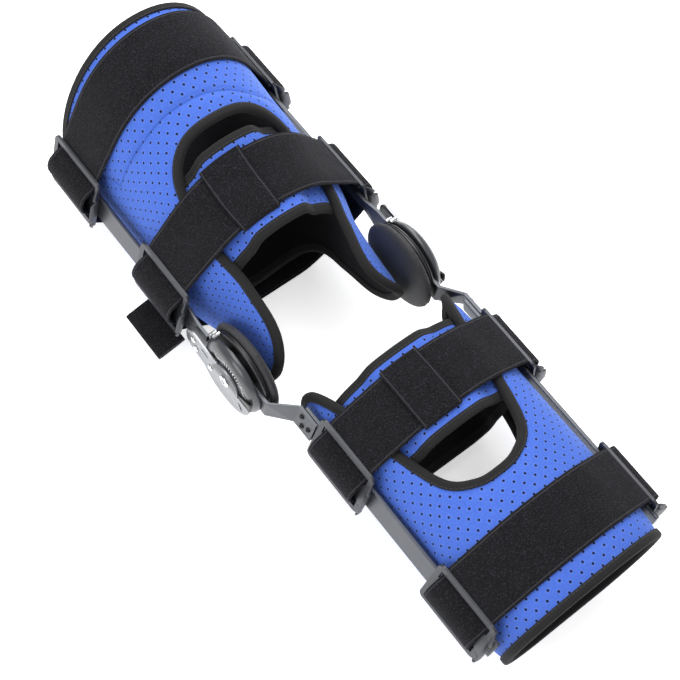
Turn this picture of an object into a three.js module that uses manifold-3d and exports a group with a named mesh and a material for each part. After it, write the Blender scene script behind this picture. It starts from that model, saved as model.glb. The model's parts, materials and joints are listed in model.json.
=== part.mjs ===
// Hinged knee brace with two padded wraps, four loop-fabric straps and side hinges.
// Millimetres. The knee axis runs along X, the thigh points to +Y and the front of the leg to +Z.
// The brace lies on its back, as it does on a table, so its lowest face is at Z = 0.

import * as THREE from 'three';
import * as BufferGeometryUtils from 'three/addons/utils/BufferGeometryUtils.js';
import Module from 'manifold-3d';

// Driving dimensions

const CLEARANCE = 0.3;            // between pieces that touch

const WALL = 5;                   // perforated foam with its cloth faces
const BINDING_WIDTH = 7;          // how far the edge tape reaches over the wall
const BINDING_PROUD = 0.9;        // how far the tape stands off each face

const THIGH_RIM = 250;            // knee axis to the top edge
const THIGH_BACK_EDGE = 78;       // knee axis to the edge behind the knee
const THIGH_FLAP = 22;            // how far the side flaps reach past the axis
const THIGH_FLAP_LEAN = 15;       // how far the right flap's front edge has fallen into the leg
const THIGH_ARCH = 145;           // knee axis to the top of the front opening
const THIGH_HALF_WIDTH = 77.5;
const THIGH_FRONT = 106;          // bar plane to the front of the wrap
const THIGH_WIDEST = -12;         // level of the widest point, from the bar plane

const CALF_RIM = 291;
const CALF_FLAP = 44;             // knee axis to the tips of the side flaps
const CALF_ARCH = 184;            // knee axis to the bottom of the front opening
const CALF_BACK_ARCH = 192;       // the same at the back
const CALF_HALF_WIDTH = 74;
const CALF_FRONT = 56;
const CALF_WIDEST = -8;
const CALF_SHIFT = 15.5;          // the calf lies this much to one side of the thigh

const BACK_DEPTH = 66;            // bar plane to the back of both wraps
const FRONT_ROUNDNESS = 2.1;      // superellipse exponent of the front half
const BACK_ROUNDNESS = 2.5;
const BACK_FLATTENING = 4;        // how much the back is pressed flat where it rests

const BAR_WIDTH = 22;
const BAR_THICKNESS = 3;
const THIGH_BAR_X = 87.5;         // bar centre from the middle of the thigh
const THIGH_BAR_END = 244;
const CALF_BAR_X = 80;
const CALF_BAR_START = 57;
const CALF_BAR_END = 279;
const BAR_TWIST = 12;             // degrees that the bars turn to face the front

const STRAP_WIDTH = 50;
const STRAP_THICKNESS = 2.2;
const STRAP_EASE = 1.1;           // slack of a strap over the wrap or the tape that it crosses
const STRAP_AT = { upper_thigh: 212, lower_thigh: 92, upper_calf: -106, lower_calf: -242 };
const CROSSING_TAPE = ['lower_thigh', 'upper_calf'];
const STRAP_BOW = 7.2;            // how far a strap bows out where it crosses a guide
const TAIL_LENGTH = 26;
const TAIL_WIDTH = 46;
const TAIL_THICKNESS = 3;
const TAIL_LEAN = 122;            // degrees that the loose end stands off its strap
const TAIL_SHIFT = -10;           // from the middle of its strap toward the knee

const GUIDE_LENGTH = 62;
const GUIDE_HEIGHT = 54;
const GUIDE_THICKNESS = 2.5;
const GUIDE_RAIL = 5.5;
const GUIDE_CORNER = 5;
const GUIDE_BRIDGE = 1.5;         // bar edge to the slot beside it
const SLOT_PLAY = 1;              // each side of the strap in its slot

const PAD_WALL = 5;               // front pads and the pad behind the calf
const PAD_MARGIN = 14;            // front pad beyond each edge of its strap
const BACK_PAD_MARGIN = 8;        // the same behind the calf
const SLEEVE_WALL = 1.5;
const SLEEVE_SPAN = 24;           // degrees of the section that a sleeve covers
const SLEEVE_TURN = 79;           // turn at its middle

const HINGE_RADIUS = 33;
const DOME_HEIGHT = 8;
const HUB_RADIUS = 16;
const BACK_DISC_RADIUS = HINGE_RADIUS + 2;
const BACK_DISC_THICKNESS = 4;
const CONDYLE_RADIUS = HINGE_RADIUS + 6;
const CONDYLE_THICKNESS = 9;
const COVER_THICKNESS = 2;
const COVER_REACH = 50;           // knee axis to the cover's end on the thigh bar
const COVER_WIDTH = 25;
const COVER_CORNER = 9;
const COVER_SECTOR = HINGE_RADIUS - 2;
const SLOT_LENGTH = 9;
const SLOT_WIDTH = 3;
const PIVOT_RADIUS = 5.5;
const RIVET_RADIUS = 3;
const RIVET_HEAD = 1.4;
const STOP_RADIUS = 2;
const STOP_HEIGHT = 6;
const POINTER_THICKNESS = 1.6;
const ARM_END = 74;               // knee axis to the square end of the hinge arm
const ARM_HEAD = 20;
const SCREW_RADIUS = 2.2;
const SCREW_HEAD = 0.9;

// Materials

const finish = (name, color, roughness, metalness = 0) =>
  new THREE.MeshStandardMaterial({ name, color, roughness, metalness, side: THREE.DoubleSide });

const blueFoam = finish('perforated_blue_foam', 0x4f7de8, 0.8);
const tape = finish('black_binding_tape', 0x3a3a3c, 0.9);
const loopFabric = finish('black_loop_fabric', 0x222225, 0.95);
const blackPad = finish('black_padding', 0x323236, 0.85);
const blackPlastic = finish('black_plastic', 0x1d1d1f, 0.4);
const satinAluminium = finish('satin_aluminium', 0xa0a2a8, 0.35, 0.9);
const guideMetal = finish('dark_satin_aluminium', 0x5f6064, 0.4, 0.8);
const dialPlastic = finish('charcoal_plastic', 0x3b3d41, 0.25);
const coverMetal = finish('pale_satin_aluminium', 0xb6b8bc, 0.35, 0.9);
const chrome = finish('chrome', 0xdadbdd, 0.12, 1);

// Helpers

const brace = new THREE.Group();
const radians = THREE.MathUtils.degToRad;
const clamp = THREE.MathUtils.clamp;
const lerp = THREE.MathUtils.lerp;
const FULL_TURN = 360;

function addPiece(name, geometry, material, parent = brace) {
  const mesh = new THREE.Mesh(geometry, material);
  mesh.name = name;
  parent.add(mesh);
  return mesh;
}

// A closed body from a grid of points on two faces. wraps closes the columns into a ring.
function sheetBody(outer, inner, columns, rows, wraps) {
  const corners = [];
  const faces = [];
  const across = wraps ? columns : columns + 1;
  for (const side of [outer, inner]) {
    for (let i = 0; i < across; i++) {
      for (let j = 0; j <= rows; j++) corners.push(...side(i, j).toArray());
    }
  }
  const at = (side, i, j) => (side * across + (i % across)) * (rows + 1) + j;
  const quad = (a, b, c, d) => faces.push(a, b, c, a, c, d);
  for (let i = 0; i < columns; i++) {
    for (let j = 0; j < rows; j++) {
      quad(at(0, i, j), at(0, i + 1, j), at(0, i + 1, j + 1), at(0, i, j + 1));
      quad(at(1, i, j), at(1, i, j + 1), at(1, i + 1, j + 1), at(1, i + 1, j));
    }
    quad(at(0, i, 0), at(1, i, 0), at(1, i + 1, 0), at(0, i + 1, 0));
    quad(at(0, i, rows), at(0, i + 1, rows), at(1, i + 1, rows), at(1, i, rows));
  }
  if (!wraps) {
    for (let j = 0; j < rows; j++) {
      quad(at(0, 0, j), at(0, 0, j + 1), at(1, 0, j + 1), at(1, 0, j));
      quad(at(0, columns, j), at(1, columns, j), at(1, columns, j + 1), at(0, columns, j + 1));
    }
  }
  return facingOut(indexed(corners, faces));
}

// A ring-shaped body: one closed outline at each station, joined to the next and back to the first.
function ringBody(outlineAt, stations, sides) {
  const corners = [];
  const faces = [];
  for (let i = 0; i < stations; i++) {
    for (const corner of outlineAt(i)) corners.push(...corner.toArray());
  }
  const at = (i, k) => (i % stations) * sides + (k % sides);
  for (let i = 0; i < stations; i++) {
    for (let k = 0; k < sides; k++) {
      faces.push(at(i, k), at(i + 1, k), at(i + 1, k + 1));
      faces.push(at(i, k), at(i + 1, k + 1), at(i, k + 1));
    }
  }
  return facingOut(indexed(corners, faces));
}

// A flat strip lofted through four-cornered stations, with closed ends.
function stripBody(stations) {
  const corners = stations.flatMap((station) => station.flatMap((corner) => corner.toArray()));
  const faces = [];
  const last = (stations.length - 1) * 4;
  for (let i = 0; i < last; i += 4) {
    for (let k = 0; k < 4; k++) {
      const next = (k + 1) % 4;
      faces.push(i + k, i + 4 + k, i + 4 + next, i + k, i + 4 + next, i + next);
    }
  }
  faces.push(0, 1, 2, 0, 2, 3);
  faces.push(last, last + 2, last + 1, last, last + 3, last + 2);
  return facingOut(indexed(corners, faces));
}

function indexed(corners, faces) {
  const geometry = new THREE.BufferGeometry();
  geometry.setAttribute('position', new THREE.Float32BufferAttribute(corners, 3));
  geometry.setIndex(faces);
  return geometry;
}

// Turns the faces over when the body's signed volume is negative.
function facingOut(geometry) {
  const place = geometry.getAttribute('position');
  const index = geometry.getIndex().array;
  const [a, b, c] = [new THREE.Vector3(), new THREE.Vector3(), new THREE.Vector3()];
  let volume = 0;
  for (let i = 0; i < index.length; i += 3) {
    a.fromBufferAttribute(place, index[i]);
    b.fromBufferAttribute(place, index[i + 1]);
    c.fromBufferAttribute(place, index[i + 2]);
    volume += a.dot(b.cross(c));
  }
  if (volume < 0) geometry.setIndex([...index].reverse());
  geometry.computeVertexNormals();
  return geometry;
}

// Section of the leg

const THIGH_TAPER = [             // share of the rim's distance, width and front height
  { along: -0.1, width: 0.83, front: 0.6 },
  { along: 0.16, width: 0.86, front: 0.64 },
  { along: 0.34, width: 0.99, front: 0.7 },
  { along: 0.6, width: 1.0, front: 0.86 },
  { along: 0.85, width: 1.0, front: 1.0 },
  { along: 1.0, width: 1.01, front: 1.02 },
];
const CALF_TAPER = [
  { along: 0.1, width: 0.97, front: 0.84 },
  { along: 0.36, width: 1.0, front: 0.94 },
  { along: 0.83, width: 1.0, front: 1.0 },
  { along: 1.0, width: 0.99, front: 0.99 },
];

const thighLeg = {
  taper: THIGH_TAPER,
  rim: THIGH_RIM,
  halfWidth: THIGH_HALF_WIDTH,
  front: THIGH_FRONT,
  widest: THIGH_WIDEST,
  shift: 0,
  barX: THIGH_BAR_X,
  lean: THIGH_FLAP_LEAN,
};
const calfLeg = {
  taper: CALF_TAPER,
  rim: -CALF_RIM,
  halfWidth: CALF_HALF_WIDTH,
  front: CALF_FRONT,
  widest: CALF_WIDEST,
  shift: CALF_SHIFT,
  barX: CALF_BAR_X,
  lean: 0,
};

function taperAt(leg, y, column) {
  const along = clamp(y / leg.rim, leg.taper[0].along, leg.taper.at(-1).along);
  const next = Math.max(1, leg.taper.findIndex((row) => row.along >= along));
  const low = leg.taper[next - 1];
  const high = leg.taper[next];
  const share = (along - low.along) / (high.along - low.along);
  return lerp(low[column], high[column], THREE.MathUtils.smoothstep(share, 0, 1));
}

// Outer face of a wrap: turn 0 is the left side, 90 the front, 180 the right and 270 the back.
function onSection(leg, y, turn) {
  const c = Math.cos(radians(turn));
  const s = Math.sin(radians(turn));
  const power = 2 / (s > 0 ? FRONT_ROUNDNESS : BACK_ROUNDNESS);
  const width = leg.halfWidth * taperAt(leg, y, 'width');
  const top = leg.front * taperAt(leg, y, 'front') - leg.widest;
  const bottom = BACK_DEPTH + BACK_FLATTENING + leg.widest;
  const x = -width * Math.sign(c) * Math.abs(c) ** power;
  const z = leg.widest + (s > 0 ? top : bottom) * Math.sign(s) * Math.abs(s) ** power;
  return new THREE.Vector3(leg.shift + x, y, z);
}

const LEAN_LEVEL = [-10, 45];     // the right flap leans from the first of these heights
const LEAN_REACH = [-10, 60];     // and is held by its strap beyond the second of these

// The same point moved off the face, with the back pressed flat where it rests.
function offSection(leg, y, turn, offset) {
  const step = 0.5;
  const ahead = onSection(leg, y, turn + step);
  const behind = onSection(leg, y, turn - step);
  const outward = new THREE.Vector3(behind.z - ahead.z, 0, ahead.x - behind.x).normalize();
  const point = onSection(leg, y, turn).addScaledVector(outward, offset);
  point.z = Math.max(point.z, -BACK_DEPTH - offset);
  if (point.x > 0) {
    const level = THREE.MathUtils.smoothstep(point.z, ...LEAN_LEVEL);
    const reach = 1 - THREE.MathUtils.smoothstep(y, ...LEAN_REACH);
    point.x -= leg.lean * level * reach;
  }
  return point;
}

// Wraps: padded walls from a straight rim to a shaped edge at the knee

const THIGH_EDGE = [              // turn, and reach from the back edge (0) to arch (1) or flap (-1)
  { turn: -90, reach: 0 },
  { turn: -58, reach: 0 },
  { turn: -36, reach: -0.25 },
  { turn: -22, reach: -0.72 },
  { turn: 2, reach: -0.97 },
  { turn: 25, reach: -0.97 },
  { turn: 41, reach: -0.74 },
  { turn: 47, reach: -0.2 },
  { turn: 51, reach: 0.35 },
  { turn: 56, reach: 0.74 },
  { turn: 70, reach: 0.96 },
];
const CALF_EDGE = [               // turn, and reach from the flap tips (0) to either arch (1)
  { turn: -90, reach: 1 },
  { turn: -66, reach: 0.94 },
  { turn: -50, reach: 0.7 },
  { turn: -42, reach: 0.36 },
  { turn: -30, reach: 0.08 },
  { turn: -5, reach: 0 },
  { turn: 18, reach: 0.04 },
  { turn: 35, reach: 0.26 },
  { turn: 45, reach: 0.6 },
  { turn: 56, reach: 0.88 },
  { turn: 70, reach: 0.98 },
];

const thighReach = (reach) =>
  reach > 0
    ? lerp(THIGH_BACK_EDGE, THIGH_ARCH, reach)
    : lerp(THIGH_BACK_EDGE, -THIGH_FLAP, -reach);
const calfReach = (reach, turn) =>
  -lerp(CALF_FLAP, turn > 0 ? CALF_ARCH : CALF_BACK_ARCH, reach);

// Even points along the knee edge, from the back round the left, the front and the right. Each
// also holds the direction into the wall, as degrees of turn and millimetres for each millimetre.
function edgePoints(leg, table, reachToY, frontTurn, count) {
  const left = table.map(({ turn, reach }) => new THREE.Vector2(turn, reachToY(reach, turn)));
  const front = new THREE.Vector2(frontTurn, reachToY(1, frontTurn));
  const right = left.map((point) => new THREE.Vector2(2 * frontTurn - point.x, point.y)).reverse();
  const fine = new THREE.SplineCurve([...left, front, ...right]).getPoints(count * 12);
  const scale = fine.map((point) => degreeLength(leg, point.y, point.x));
  const run = [0];
  for (let i = 1; i < fine.length; i++) {
    const across = (fine[i].x - fine[i - 1].x) * scale[i];
    run.push(run[i - 1] + Math.hypot(across, fine[i].y - fine[i - 1].y));
  }
  const points = [];
  let k = 0;
  for (let n = 0; n < count; n++) {
    const goal = (n / count) * run.at(-1);
    while (run[k + 1] < goal) k++;
    const share = (goal - run[k]) / (run[k + 1] - run[k]);
    points.push(fine[k].clone().lerp(fine[k + 1], share));
  }
  return points.map((point, i) => {
    const before = i > 0 ? points[i - 1] : points.at(-1).clone().setX(points.at(-1).x - FULL_TURN);
    const after = i < count - 1 ? points[i + 1] : points[0].clone().setX(points[0].x + FULL_TURN);
    const length = degreeLength(leg, point.y, point.x);
    const ahead = new THREE.Vector2((after.x - before.x) * length, after.y - before.y).normalize();
    const inward = Math.sign(leg.rim);
    return { turn: point.x, y: point.y, perTurn: (-inward * ahead.y) / length, perY: inward * ahead.x };
  });
}

// Arc length of one degree of turn.
function degreeLength(leg, y, turn) {
  return onSection(leg, y, turn + 1).distanceTo(onSection(leg, y, turn - 1)) / 2;
}

function rimPoints(leg, count) {
  const perY = -Math.sign(leg.rim);
  return Array.from({ length: count }, (_, i) => {
    return { turn: -90 + (FULL_TURN * i) / count, y: leg.rim, perTurn: 0, perY };
  });
}

const COLUMNS = 64;
const RIM_COLUMNS = 40;
const ROWS = 4;
const EDGE_GAP = 0.8;             // wall to tape, where the edge curves most
const EDGE_INSET = BINDING_WIDTH + EDGE_GAP;

function wrapBody(leg, edge) {
  const place = (i, j, offset) => {
    const { turn, y, perTurn, perY } = edge[i % edge.length];
    const near = y + perY * EDGE_INSET;
    const far = leg.rim - Math.sign(leg.rim) * EDGE_INSET;
    return offSection(leg, lerp(near, far, j / ROWS), turn + perTurn * EDGE_INSET, offset);
  };
  return sheetBody((i, j) => place(i, j, 0), (i, j) => place(i, j, -WALL), edge.length, ROWS, true);
}

const TAPE_OUTLINE = [            // share of the tape's width from its fold, and side of the wall
  { from_fold: 1, off: BINDING_PROUD },
  { from_fold: 0.25, off: BINDING_PROUD },
  { from_fold: 0, off: -WALL * 0.5 },
  { from_fold: 0.25, off: -WALL - BINDING_PROUD },
  { from_fold: 1, off: -WALL - BINDING_PROUD },
];

// The tape round an edge: a flattened ring that lies against the wall's end.
function bindingBody(leg, edge) {
  const outlineAt = (i) =>
    TAPE_OUTLINE.map(({ from_fold, off }) => {
      const inset = BINDING_WIDTH * from_fold;
      const { turn, y, perTurn, perY } = edge[i];
      return offSection(leg, y + perY * inset, turn + perTurn * inset, off);
    });
  return ringBody(outlineAt, edge.length, TAPE_OUTLINE.length);
}

const THIGH_ARCH_TURN = 91;       // turn at the middle of each front opening
const CALF_ARCH_TURN = 83;
const thighEdge = edgePoints(thighLeg, THIGH_EDGE, thighReach, THIGH_ARCH_TURN, COLUMNS);
const calfEdge = edgePoints(calfLeg, CALF_EDGE, calfReach, CALF_ARCH_TURN, COLUMNS);

addPiece('thigh_wrap', wrapBody(thighLeg, thighEdge), blueFoam);
addPiece('thigh_knee_binding', bindingBody(thighLeg, thighEdge), tape);
addPiece('thigh_rim_binding', bindingBody(thighLeg, rimPoints(thighLeg, RIM_COLUMNS)), tape);
addPiece('calf_wrap', wrapBody(calfLeg, calfEdge), blueFoam);
addPiece('calf_knee_binding', bindingBody(calfLeg, calfEdge), tape);
addPiece('calf_rim_binding', bindingBody(calfLeg, rimPoints(calfLeg, RIM_COLUMNS)), tape);

// Bars and guides: a bar's own frame has u across its face, to the front, and w outward

function barFrame(leg, side, y, twist = BAR_TWIST) {
  const tilt = radians(twist);
  const u = new THREE.Vector3(-side * Math.sin(tilt), 0, Math.cos(tilt));
  const w = new THREE.Vector3(side * Math.cos(tilt), 0, Math.sin(tilt));
  const centre = new THREE.Vector3(leg.shift + side * leg.barX, y, 0);
  return (along, across, out) =>
    centre.clone().addScaledVector(u, across).addScaledVector(w, out).setY(y + along);
}

function barBody(leg, side, stations) {
  return stripBody(
    stations.map(({ y, twist }) => {
      const at = barFrame(leg, side, y, twist);
      const [half, thick] = [BAR_WIDTH / 2, BAR_THICKNESS / 2];
      return [at(0, -half, -thick), at(0, half, -thick), at(0, half, thick), at(0, -half, thick)];
    }),
  );
}

const BAR_HINGE_END = HINGE_RADIUS + CLEARANCE;
const thighBarStations = [
  { y: BAR_HINGE_END, twist: 0 },
  { y: COVER_REACH - 6, twist: 0 },
  { y: STRAP_AT.lower_thigh - GUIDE_LENGTH / 2 - 1, twist: BAR_TWIST },
  { y: THIGH_BAR_END, twist: BAR_TWIST },
];
const calfBarStations = [
  { y: -CALF_BAR_START, twist: BAR_TWIST },
  { y: -CALF_BAR_END, twist: BAR_TWIST },
];

function roundedRectangle(halfLong, halfTall, r) {
  const shape = new THREE.Shape();
  shape.absarc(halfLong - r, halfTall - r, r, 0, Math.PI / 2);
  shape.absarc(r - halfLong, halfTall - r, r, Math.PI / 2, Math.PI);
  shape.absarc(r - halfLong, r - halfTall, r, Math.PI, 1.5 * Math.PI);
  shape.absarc(halfLong - r, r - halfTall, r, 1.5 * Math.PI, 2 * Math.PI);
  return shape;
}

const slotOuter = GUIDE_HEIGHT / 2 - GUIDE_RAIL;
const slotInner = BAR_WIDTH / 2 + GUIDE_BRIDGE;
const slotHalf = STRAP_WIDTH / 2 + SLOT_PLAY;

// A frame on the bar's outer face, with a slot in front of it and one behind it for the strap.
function guideGeometry() {
  const plate = roundedRectangle(GUIDE_LENGTH / 2, GUIDE_HEIGHT / 2, GUIDE_CORNER);
  for (const [low, high] of [[slotInner, slotOuter], [-slotOuter, -slotInner]]) {
    const corners = [[-slotHalf, low], [slotHalf, low], [slotHalf, high], [-slotHalf, high]];
    plate.holes.push(new THREE.Path(corners.map((corner) => new THREE.Vector2(...corner))));
  }
  return new THREE.ExtrudeGeometry(plate, {
    depth: GUIDE_THICKNESS,
    bevelEnabled: false,
    curveSegments: 2,
  });
}

const guideOut = BAR_THICKNESS / 2 + CLEARANCE;        // inner face of the plate

// Places a flat geometry drawn in along, across and out on a bar.
function onBar(geometry, leg, side, y, out, twist = BAR_TWIST) {
  const at = barFrame(leg, side, y, twist);
  const origin = at(0, 0, out);
  const matrix = new THREE.Matrix4().makeBasis(
    at(1, 0, out).sub(origin),
    at(0, 1, out).sub(origin),
    at(0, 0, out + 1).sub(origin),
  );
  geometry.applyMatrix4(matrix.setPosition(origin));
  return watertight(geometry);
}

function watertight(geometry) {
  geometry.deleteAttribute('normal');
  geometry.deleteAttribute('uv');
  return facingOut(BufferGeometryUtils.mergeVertices(geometry, 1e-4));
}

const sides = [
  { name: 'left', side: -1 },
  { name: 'right', side: 1 },
];

for (const { name, side } of sides) {
  addPiece(`thigh_bar_${name}`, barBody(thighLeg, side, thighBarStations), satinAluminium);
  addPiece(`calf_bar_${name}`, barBody(calfLeg, side, calfBarStations), satinAluminium);
  for (const [strap, y] of Object.entries(STRAP_AT)) {
    const leg = y > 0 ? thighLeg : calfLeg;
    const guide = onBar(guideGeometry(), leg, side, y, guideOut);
    addPiece(`${strap}_guide_${name}`, guide, guideMetal);
  }
}

// Straps: a loop that lies on the wrap, dives under each rail and crosses outside each bar

const strapHalf = STRAP_THICKNESS / 2;
const looseOff = CLEARANCE + STRAP_EASE + strapHalf;   // middle of a strap, off the wrap
const tapedOff = looseOff + BINDING_PROUD;             // the same where it crosses a taped edge
const underRail = guideOut - 2 * CLEARANCE - strapHalf;
const overGuide = guideOut + GUIDE_THICKNESS + CLEARANCE + strapHalf;

// Where a taut strap from a rail first touches the wrap, as a turn between two limits.
function touchTurn(leg, y, strapOff, from, start, end) {
  let best = end;
  let bestLean = -Infinity;
  const count = 60;
  for (let n = 0; n <= count; n++) {
    const turn = lerp(start, end, n / count);
    const point = offSection(leg, y, turn, strapOff);
    if (Math.abs(point.z) < Math.abs(from.z)) continue;
    const run = new THREE.Vector2(point.x - from.x, point.z - from.z);
    const out = new THREE.Vector2(from.x - leg.shift, from.z - leg.widest);
    const lean = run.dot(out.normalize()) / run.length();
    if (lean > bestLean) [best, bestLean] = [turn, lean];
  }
  return best;
}

const railEdge = GUIDE_HEIGHT / 2 + 1;                 // just past the rail's outer edge
const slotFoot = slotOuter - STRAP_THICKNESS;          // where it turns up through the slot
const slotTop = slotInner - 0.3 * STRAP_THICKNESS;     // where it lands on the plate's bridge

const BOW = [                     // share of the way across the bar, and of the bow's height
  { across: 1, lift: 0.25 },
  { across: 0.6, lift: 0.8 },
  { across: 0, lift: 1 },
  { across: -0.6, lift: 0.8 },
  { across: -1, lift: 0.25 },
];

function strapPath(leg, y, strapOff) {
  const cross = (side, across, out) => barFrame(leg, side, y)(0, across, out);
  const path = [];
  const arc = (from, to, count) => {
    for (let n = 0; n <= count; n++) path.push(offSection(leg, y, lerp(from, to, n / count), strapOff));
  };
  const crossing = (side, sign) => {
    path.push(cross(side, sign * railEdge, underRail));
    path.push(cross(side, sign * slotFoot, underRail));
    for (const { across, lift } of BOW) {
      path.push(cross(side, sign * slotTop * across, overGuide + STRAP_BOW * lift));
    }
    path.push(cross(side, -sign * slotFoot, underRail));
    path.push(cross(side, -sign * railEdge, underRail));
  };
  crossing(-1, -1);
  const frontLeft = touchTurn(leg, y, strapOff, path.at(-1), 25, 80);
  const frontRight = touchTurn(leg, y, strapOff, cross(1, railEdge, underRail), 155, 100);
  arc(frontLeft, frontRight, FRONT_COLUMNS);
  crossing(1, 1);
  const backRight = touchTurn(leg, y, strapOff, path.at(-1), 200, 260);
  const backLeft = touchTurn(leg, y, strapOff, path[0], 340, 280);
  arc(backRight, backLeft, BACK_COLUMNS);
  return path;
}

// Moves each point of a closed path to one side, mitred at the corners.
function pathOffset(path, distance) {
  return path.map((point, i) => {
    const before = path[(i + path.length - 1) % path.length];
    const after = path[(i + 1) % path.length];
    const one = new THREE.Vector2(point.x - before.x, point.z - before.z).normalize();
    const two = new THREE.Vector2(after.x - point.x, after.z - point.z).normalize();
    const normal = new THREE.Vector2(-one.y - two.y, one.x + two.x).normalize();
    const stretch = Math.max(0.7, normal.dot(new THREE.Vector2(-one.y, one.x)));
    const move = distance / stretch;
    return new THREE.Vector3(point.x + normal.x * move, point.y, point.z + normal.y * move);
  });
}

const FRONT_COLUMNS = 16;
const BACK_COLUMNS = 9;

function strapBody(leg, centre, strapOff) {
  const ends = [centre - STRAP_WIDTH / 2, centre, centre + STRAP_WIDTH / 2];
  const paths = ends.map((y) => strapPath(leg, y, strapOff));
  const outside = paths.map((path) => pathOffset(path, strapHalf));
  const inside = paths.map((path) => pathOffset(path, -strapHalf));
  return sheetBody((i, j) => outside[j][i], (i, j) => inside[j][i], paths[0].length, 2, true);
}

for (const [strap, y] of Object.entries(STRAP_AT)) {
  const strapOff = CROSSING_TAPE.includes(strap) ? tapedOff : looseOff;
  addPiece(`${strap}_strap`, strapBody(y > 0 ? thighLeg : calfLeg, y, strapOff), loopFabric);
}

// The loose end of the lower thigh strap stands off it, behind the left guide.
function tailBody(leg, strapY) {
  const path = strapPath(leg, strapY, tapedOff);
  const rail = path[0];
  const along = rail.clone().sub(path.at(-1)).normalize().negate();
  const out = new THREE.Vector3(along.z, 0, -along.x);
  const seat = strapHalf + 2 * CLEARANCE;
  const start = rail.clone().addScaledVector(along, TAIL_THICKNESS).addScaledVector(out, seat);
  const axis = new THREE.Vector3(0, 1, 0);
  along.applyAxisAngle(axis, radians(TAIL_LEAN));
  out.applyAxisAngle(axis, radians(TAIL_LEAN));
  const corner = (run, off, width) =>
    start.clone().addScaledVector(along, run).addScaledVector(out, off).setY(strapY + TAIL_SHIFT + width);
  const station = (run) => [
    corner(run, 0, -TAIL_WIDTH / 2),
    corner(run, 0, TAIL_WIDTH / 2),
    corner(run, -TAIL_THICKNESS, TAIL_WIDTH / 2),
    corner(run, -TAIL_THICKNESS, -TAIL_WIDTH / 2),
  ];
  return stripBody([station(0), station(TAIL_LENGTH)]);
}

addPiece('lower_thigh_strap_tail', tailBody(thighLeg, STRAP_AT.lower_thigh), loopFabric);

// Pads: bridges across the two front openings and behind the calf, with their ends in the wraps

const tucked = -WALL - BINDING_PROUD - 2 * CLEARANCE;
const bridging = tapedOff - strapHalf - 3 * CLEARANCE;

const PAD_COLUMNS = 15;

function padBody(leg, centre, { margin, from, to, riseFrom, riseTo }) {
  const columns = PAD_COLUMNS;
  const rows = 2;
  const half = STRAP_WIDTH / 2 + margin;
  const place = (i, j, depth) => {
    const share = i / columns;
    const rise = THREE.MathUtils.smoothstep(Math.min(share, 1 - share), riseFrom, riseTo);
    const y = centre + half * (2 * (j / rows) - 1);
    return offSection(leg, y, lerp(from, to, share), lerp(tucked, bridging, rise) - depth);
  };
  return sheetBody((i, j) => place(i, j, 0), (i, j) => place(i, j, PAD_WALL), columns, rows, false);
}

// A band over the strap, with a lip down to the pad at each edge of the strap.
function sleeveBody(leg, centre, middle) {
  const columns = 6;
  const low = bridging + 2 * CLEARANCE;
  const high = tapedOff + strapHalf + 2 * CLEARANCE;
  const half = STRAP_WIDTH / 2 + 2 * CLEARANCE;
  const lip = [
    { across: -half, off: low, spread: -1 },
    { across: -half, off: high, spread: -1 },
    { across: half, off: high, spread: 1 },
    { across: half, off: low, spread: 1 },
  ];
  const place = (i, j, thick) => {
    const turn = middle + SLEEVE_SPAN * (i / columns - 0.5);
    const y = centre + lip[j].across + lip[j].spread * thick;
    return offSection(leg, y, turn, lip[j].off + (lip[j].off > low ? thick : 0));
  };
  const outer = (i, j) => place(i, j, SLEEVE_WALL);
  return sheetBody(outer, (i, j) => place(i, j, 0), columns, lip.length - 1, false);
}

// Turns at a pad's ends, and shares of its span where it climbs from under the wrap.
const THIGH_PAD = { margin: PAD_MARGIN, from: 36, to: 140, riseFrom: 0.22, riseTo: 0.36 };
const CALF_PAD = { margin: PAD_MARGIN, from: 20, to: 146, riseFrom: 0.25, riseTo: 0.38 };
const CALF_BACK_PAD = { margin: BACK_PAD_MARGIN, from: -168, to: -26, riseFrom: 0.17, riseTo: 0.3 };

addPiece('thigh_front_pad', padBody(thighLeg, STRAP_AT.lower_thigh, THIGH_PAD), blueFoam);
addPiece('calf_front_pad', padBody(calfLeg, STRAP_AT.upper_calf, CALF_PAD), blueFoam);
addPiece('calf_back_pad', padBody(calfLeg, STRAP_AT.upper_calf, CALF_BACK_PAD), blackPad);
addPiece('thigh_pad_sleeve', sleeveBody(thighLeg, STRAP_AT.lower_thigh, SLEEVE_TURN), loopFabric);
addPiece('calf_pad_sleeve', sleeveBody(calfLeg, STRAP_AT.upper_calf, SLEEVE_TURN), loopFabric);

// Hinges: layers stacked outward along the axis, each clear of the last

const barInner = THIGH_BAR_X - BAR_THICKNESS / 2;
const armOuter = barInner - CLEARANCE;
const armInner = armOuter - BAR_THICKNESS;
const discOuter = armInner - CLEARANCE;
const discInner = discOuter - BACK_DISC_THICKNESS;
const padOuter = discInner - CLEARANCE;
const coverInner = barInner + DOME_HEIGHT + CLEARANCE;
const coverOuter = coverInner + COVER_THICKNESS;

// A body of revolution about the knee axis: profile rows hold radius and distance out.
function turned(profile, side, y = 0, z = 0, segments = 24) {
  const points = profile.map(([radius, out]) => new THREE.Vector2(radius, out));
  const geometry = new THREE.LatheGeometry(points, segments);
  geometry.rotateZ(-side * Math.PI / 2);
  geometry.translate(0, y, z);
  return watertight(geometry);
}

// A flat shape drawn in (toward the thigh, toward the front) and made thick outward.
function layer(shape, side, inner, thickness) {
  const geometry = new THREE.ExtrudeGeometry(shape, {
    depth: thickness,
    bevelEnabled: false,
    curveSegments: 4,
  });
  const matrix = new THREE.Matrix4().makeBasis(
    new THREE.Vector3(0, 1, 0),
    new THREE.Vector3(0, 0, 1),
    new THREE.Vector3(side, 0, 0),
  );
  geometry.applyMatrix4(matrix.setPosition(side * inner, 0, 0));
  return watertight(geometry);
}

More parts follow.
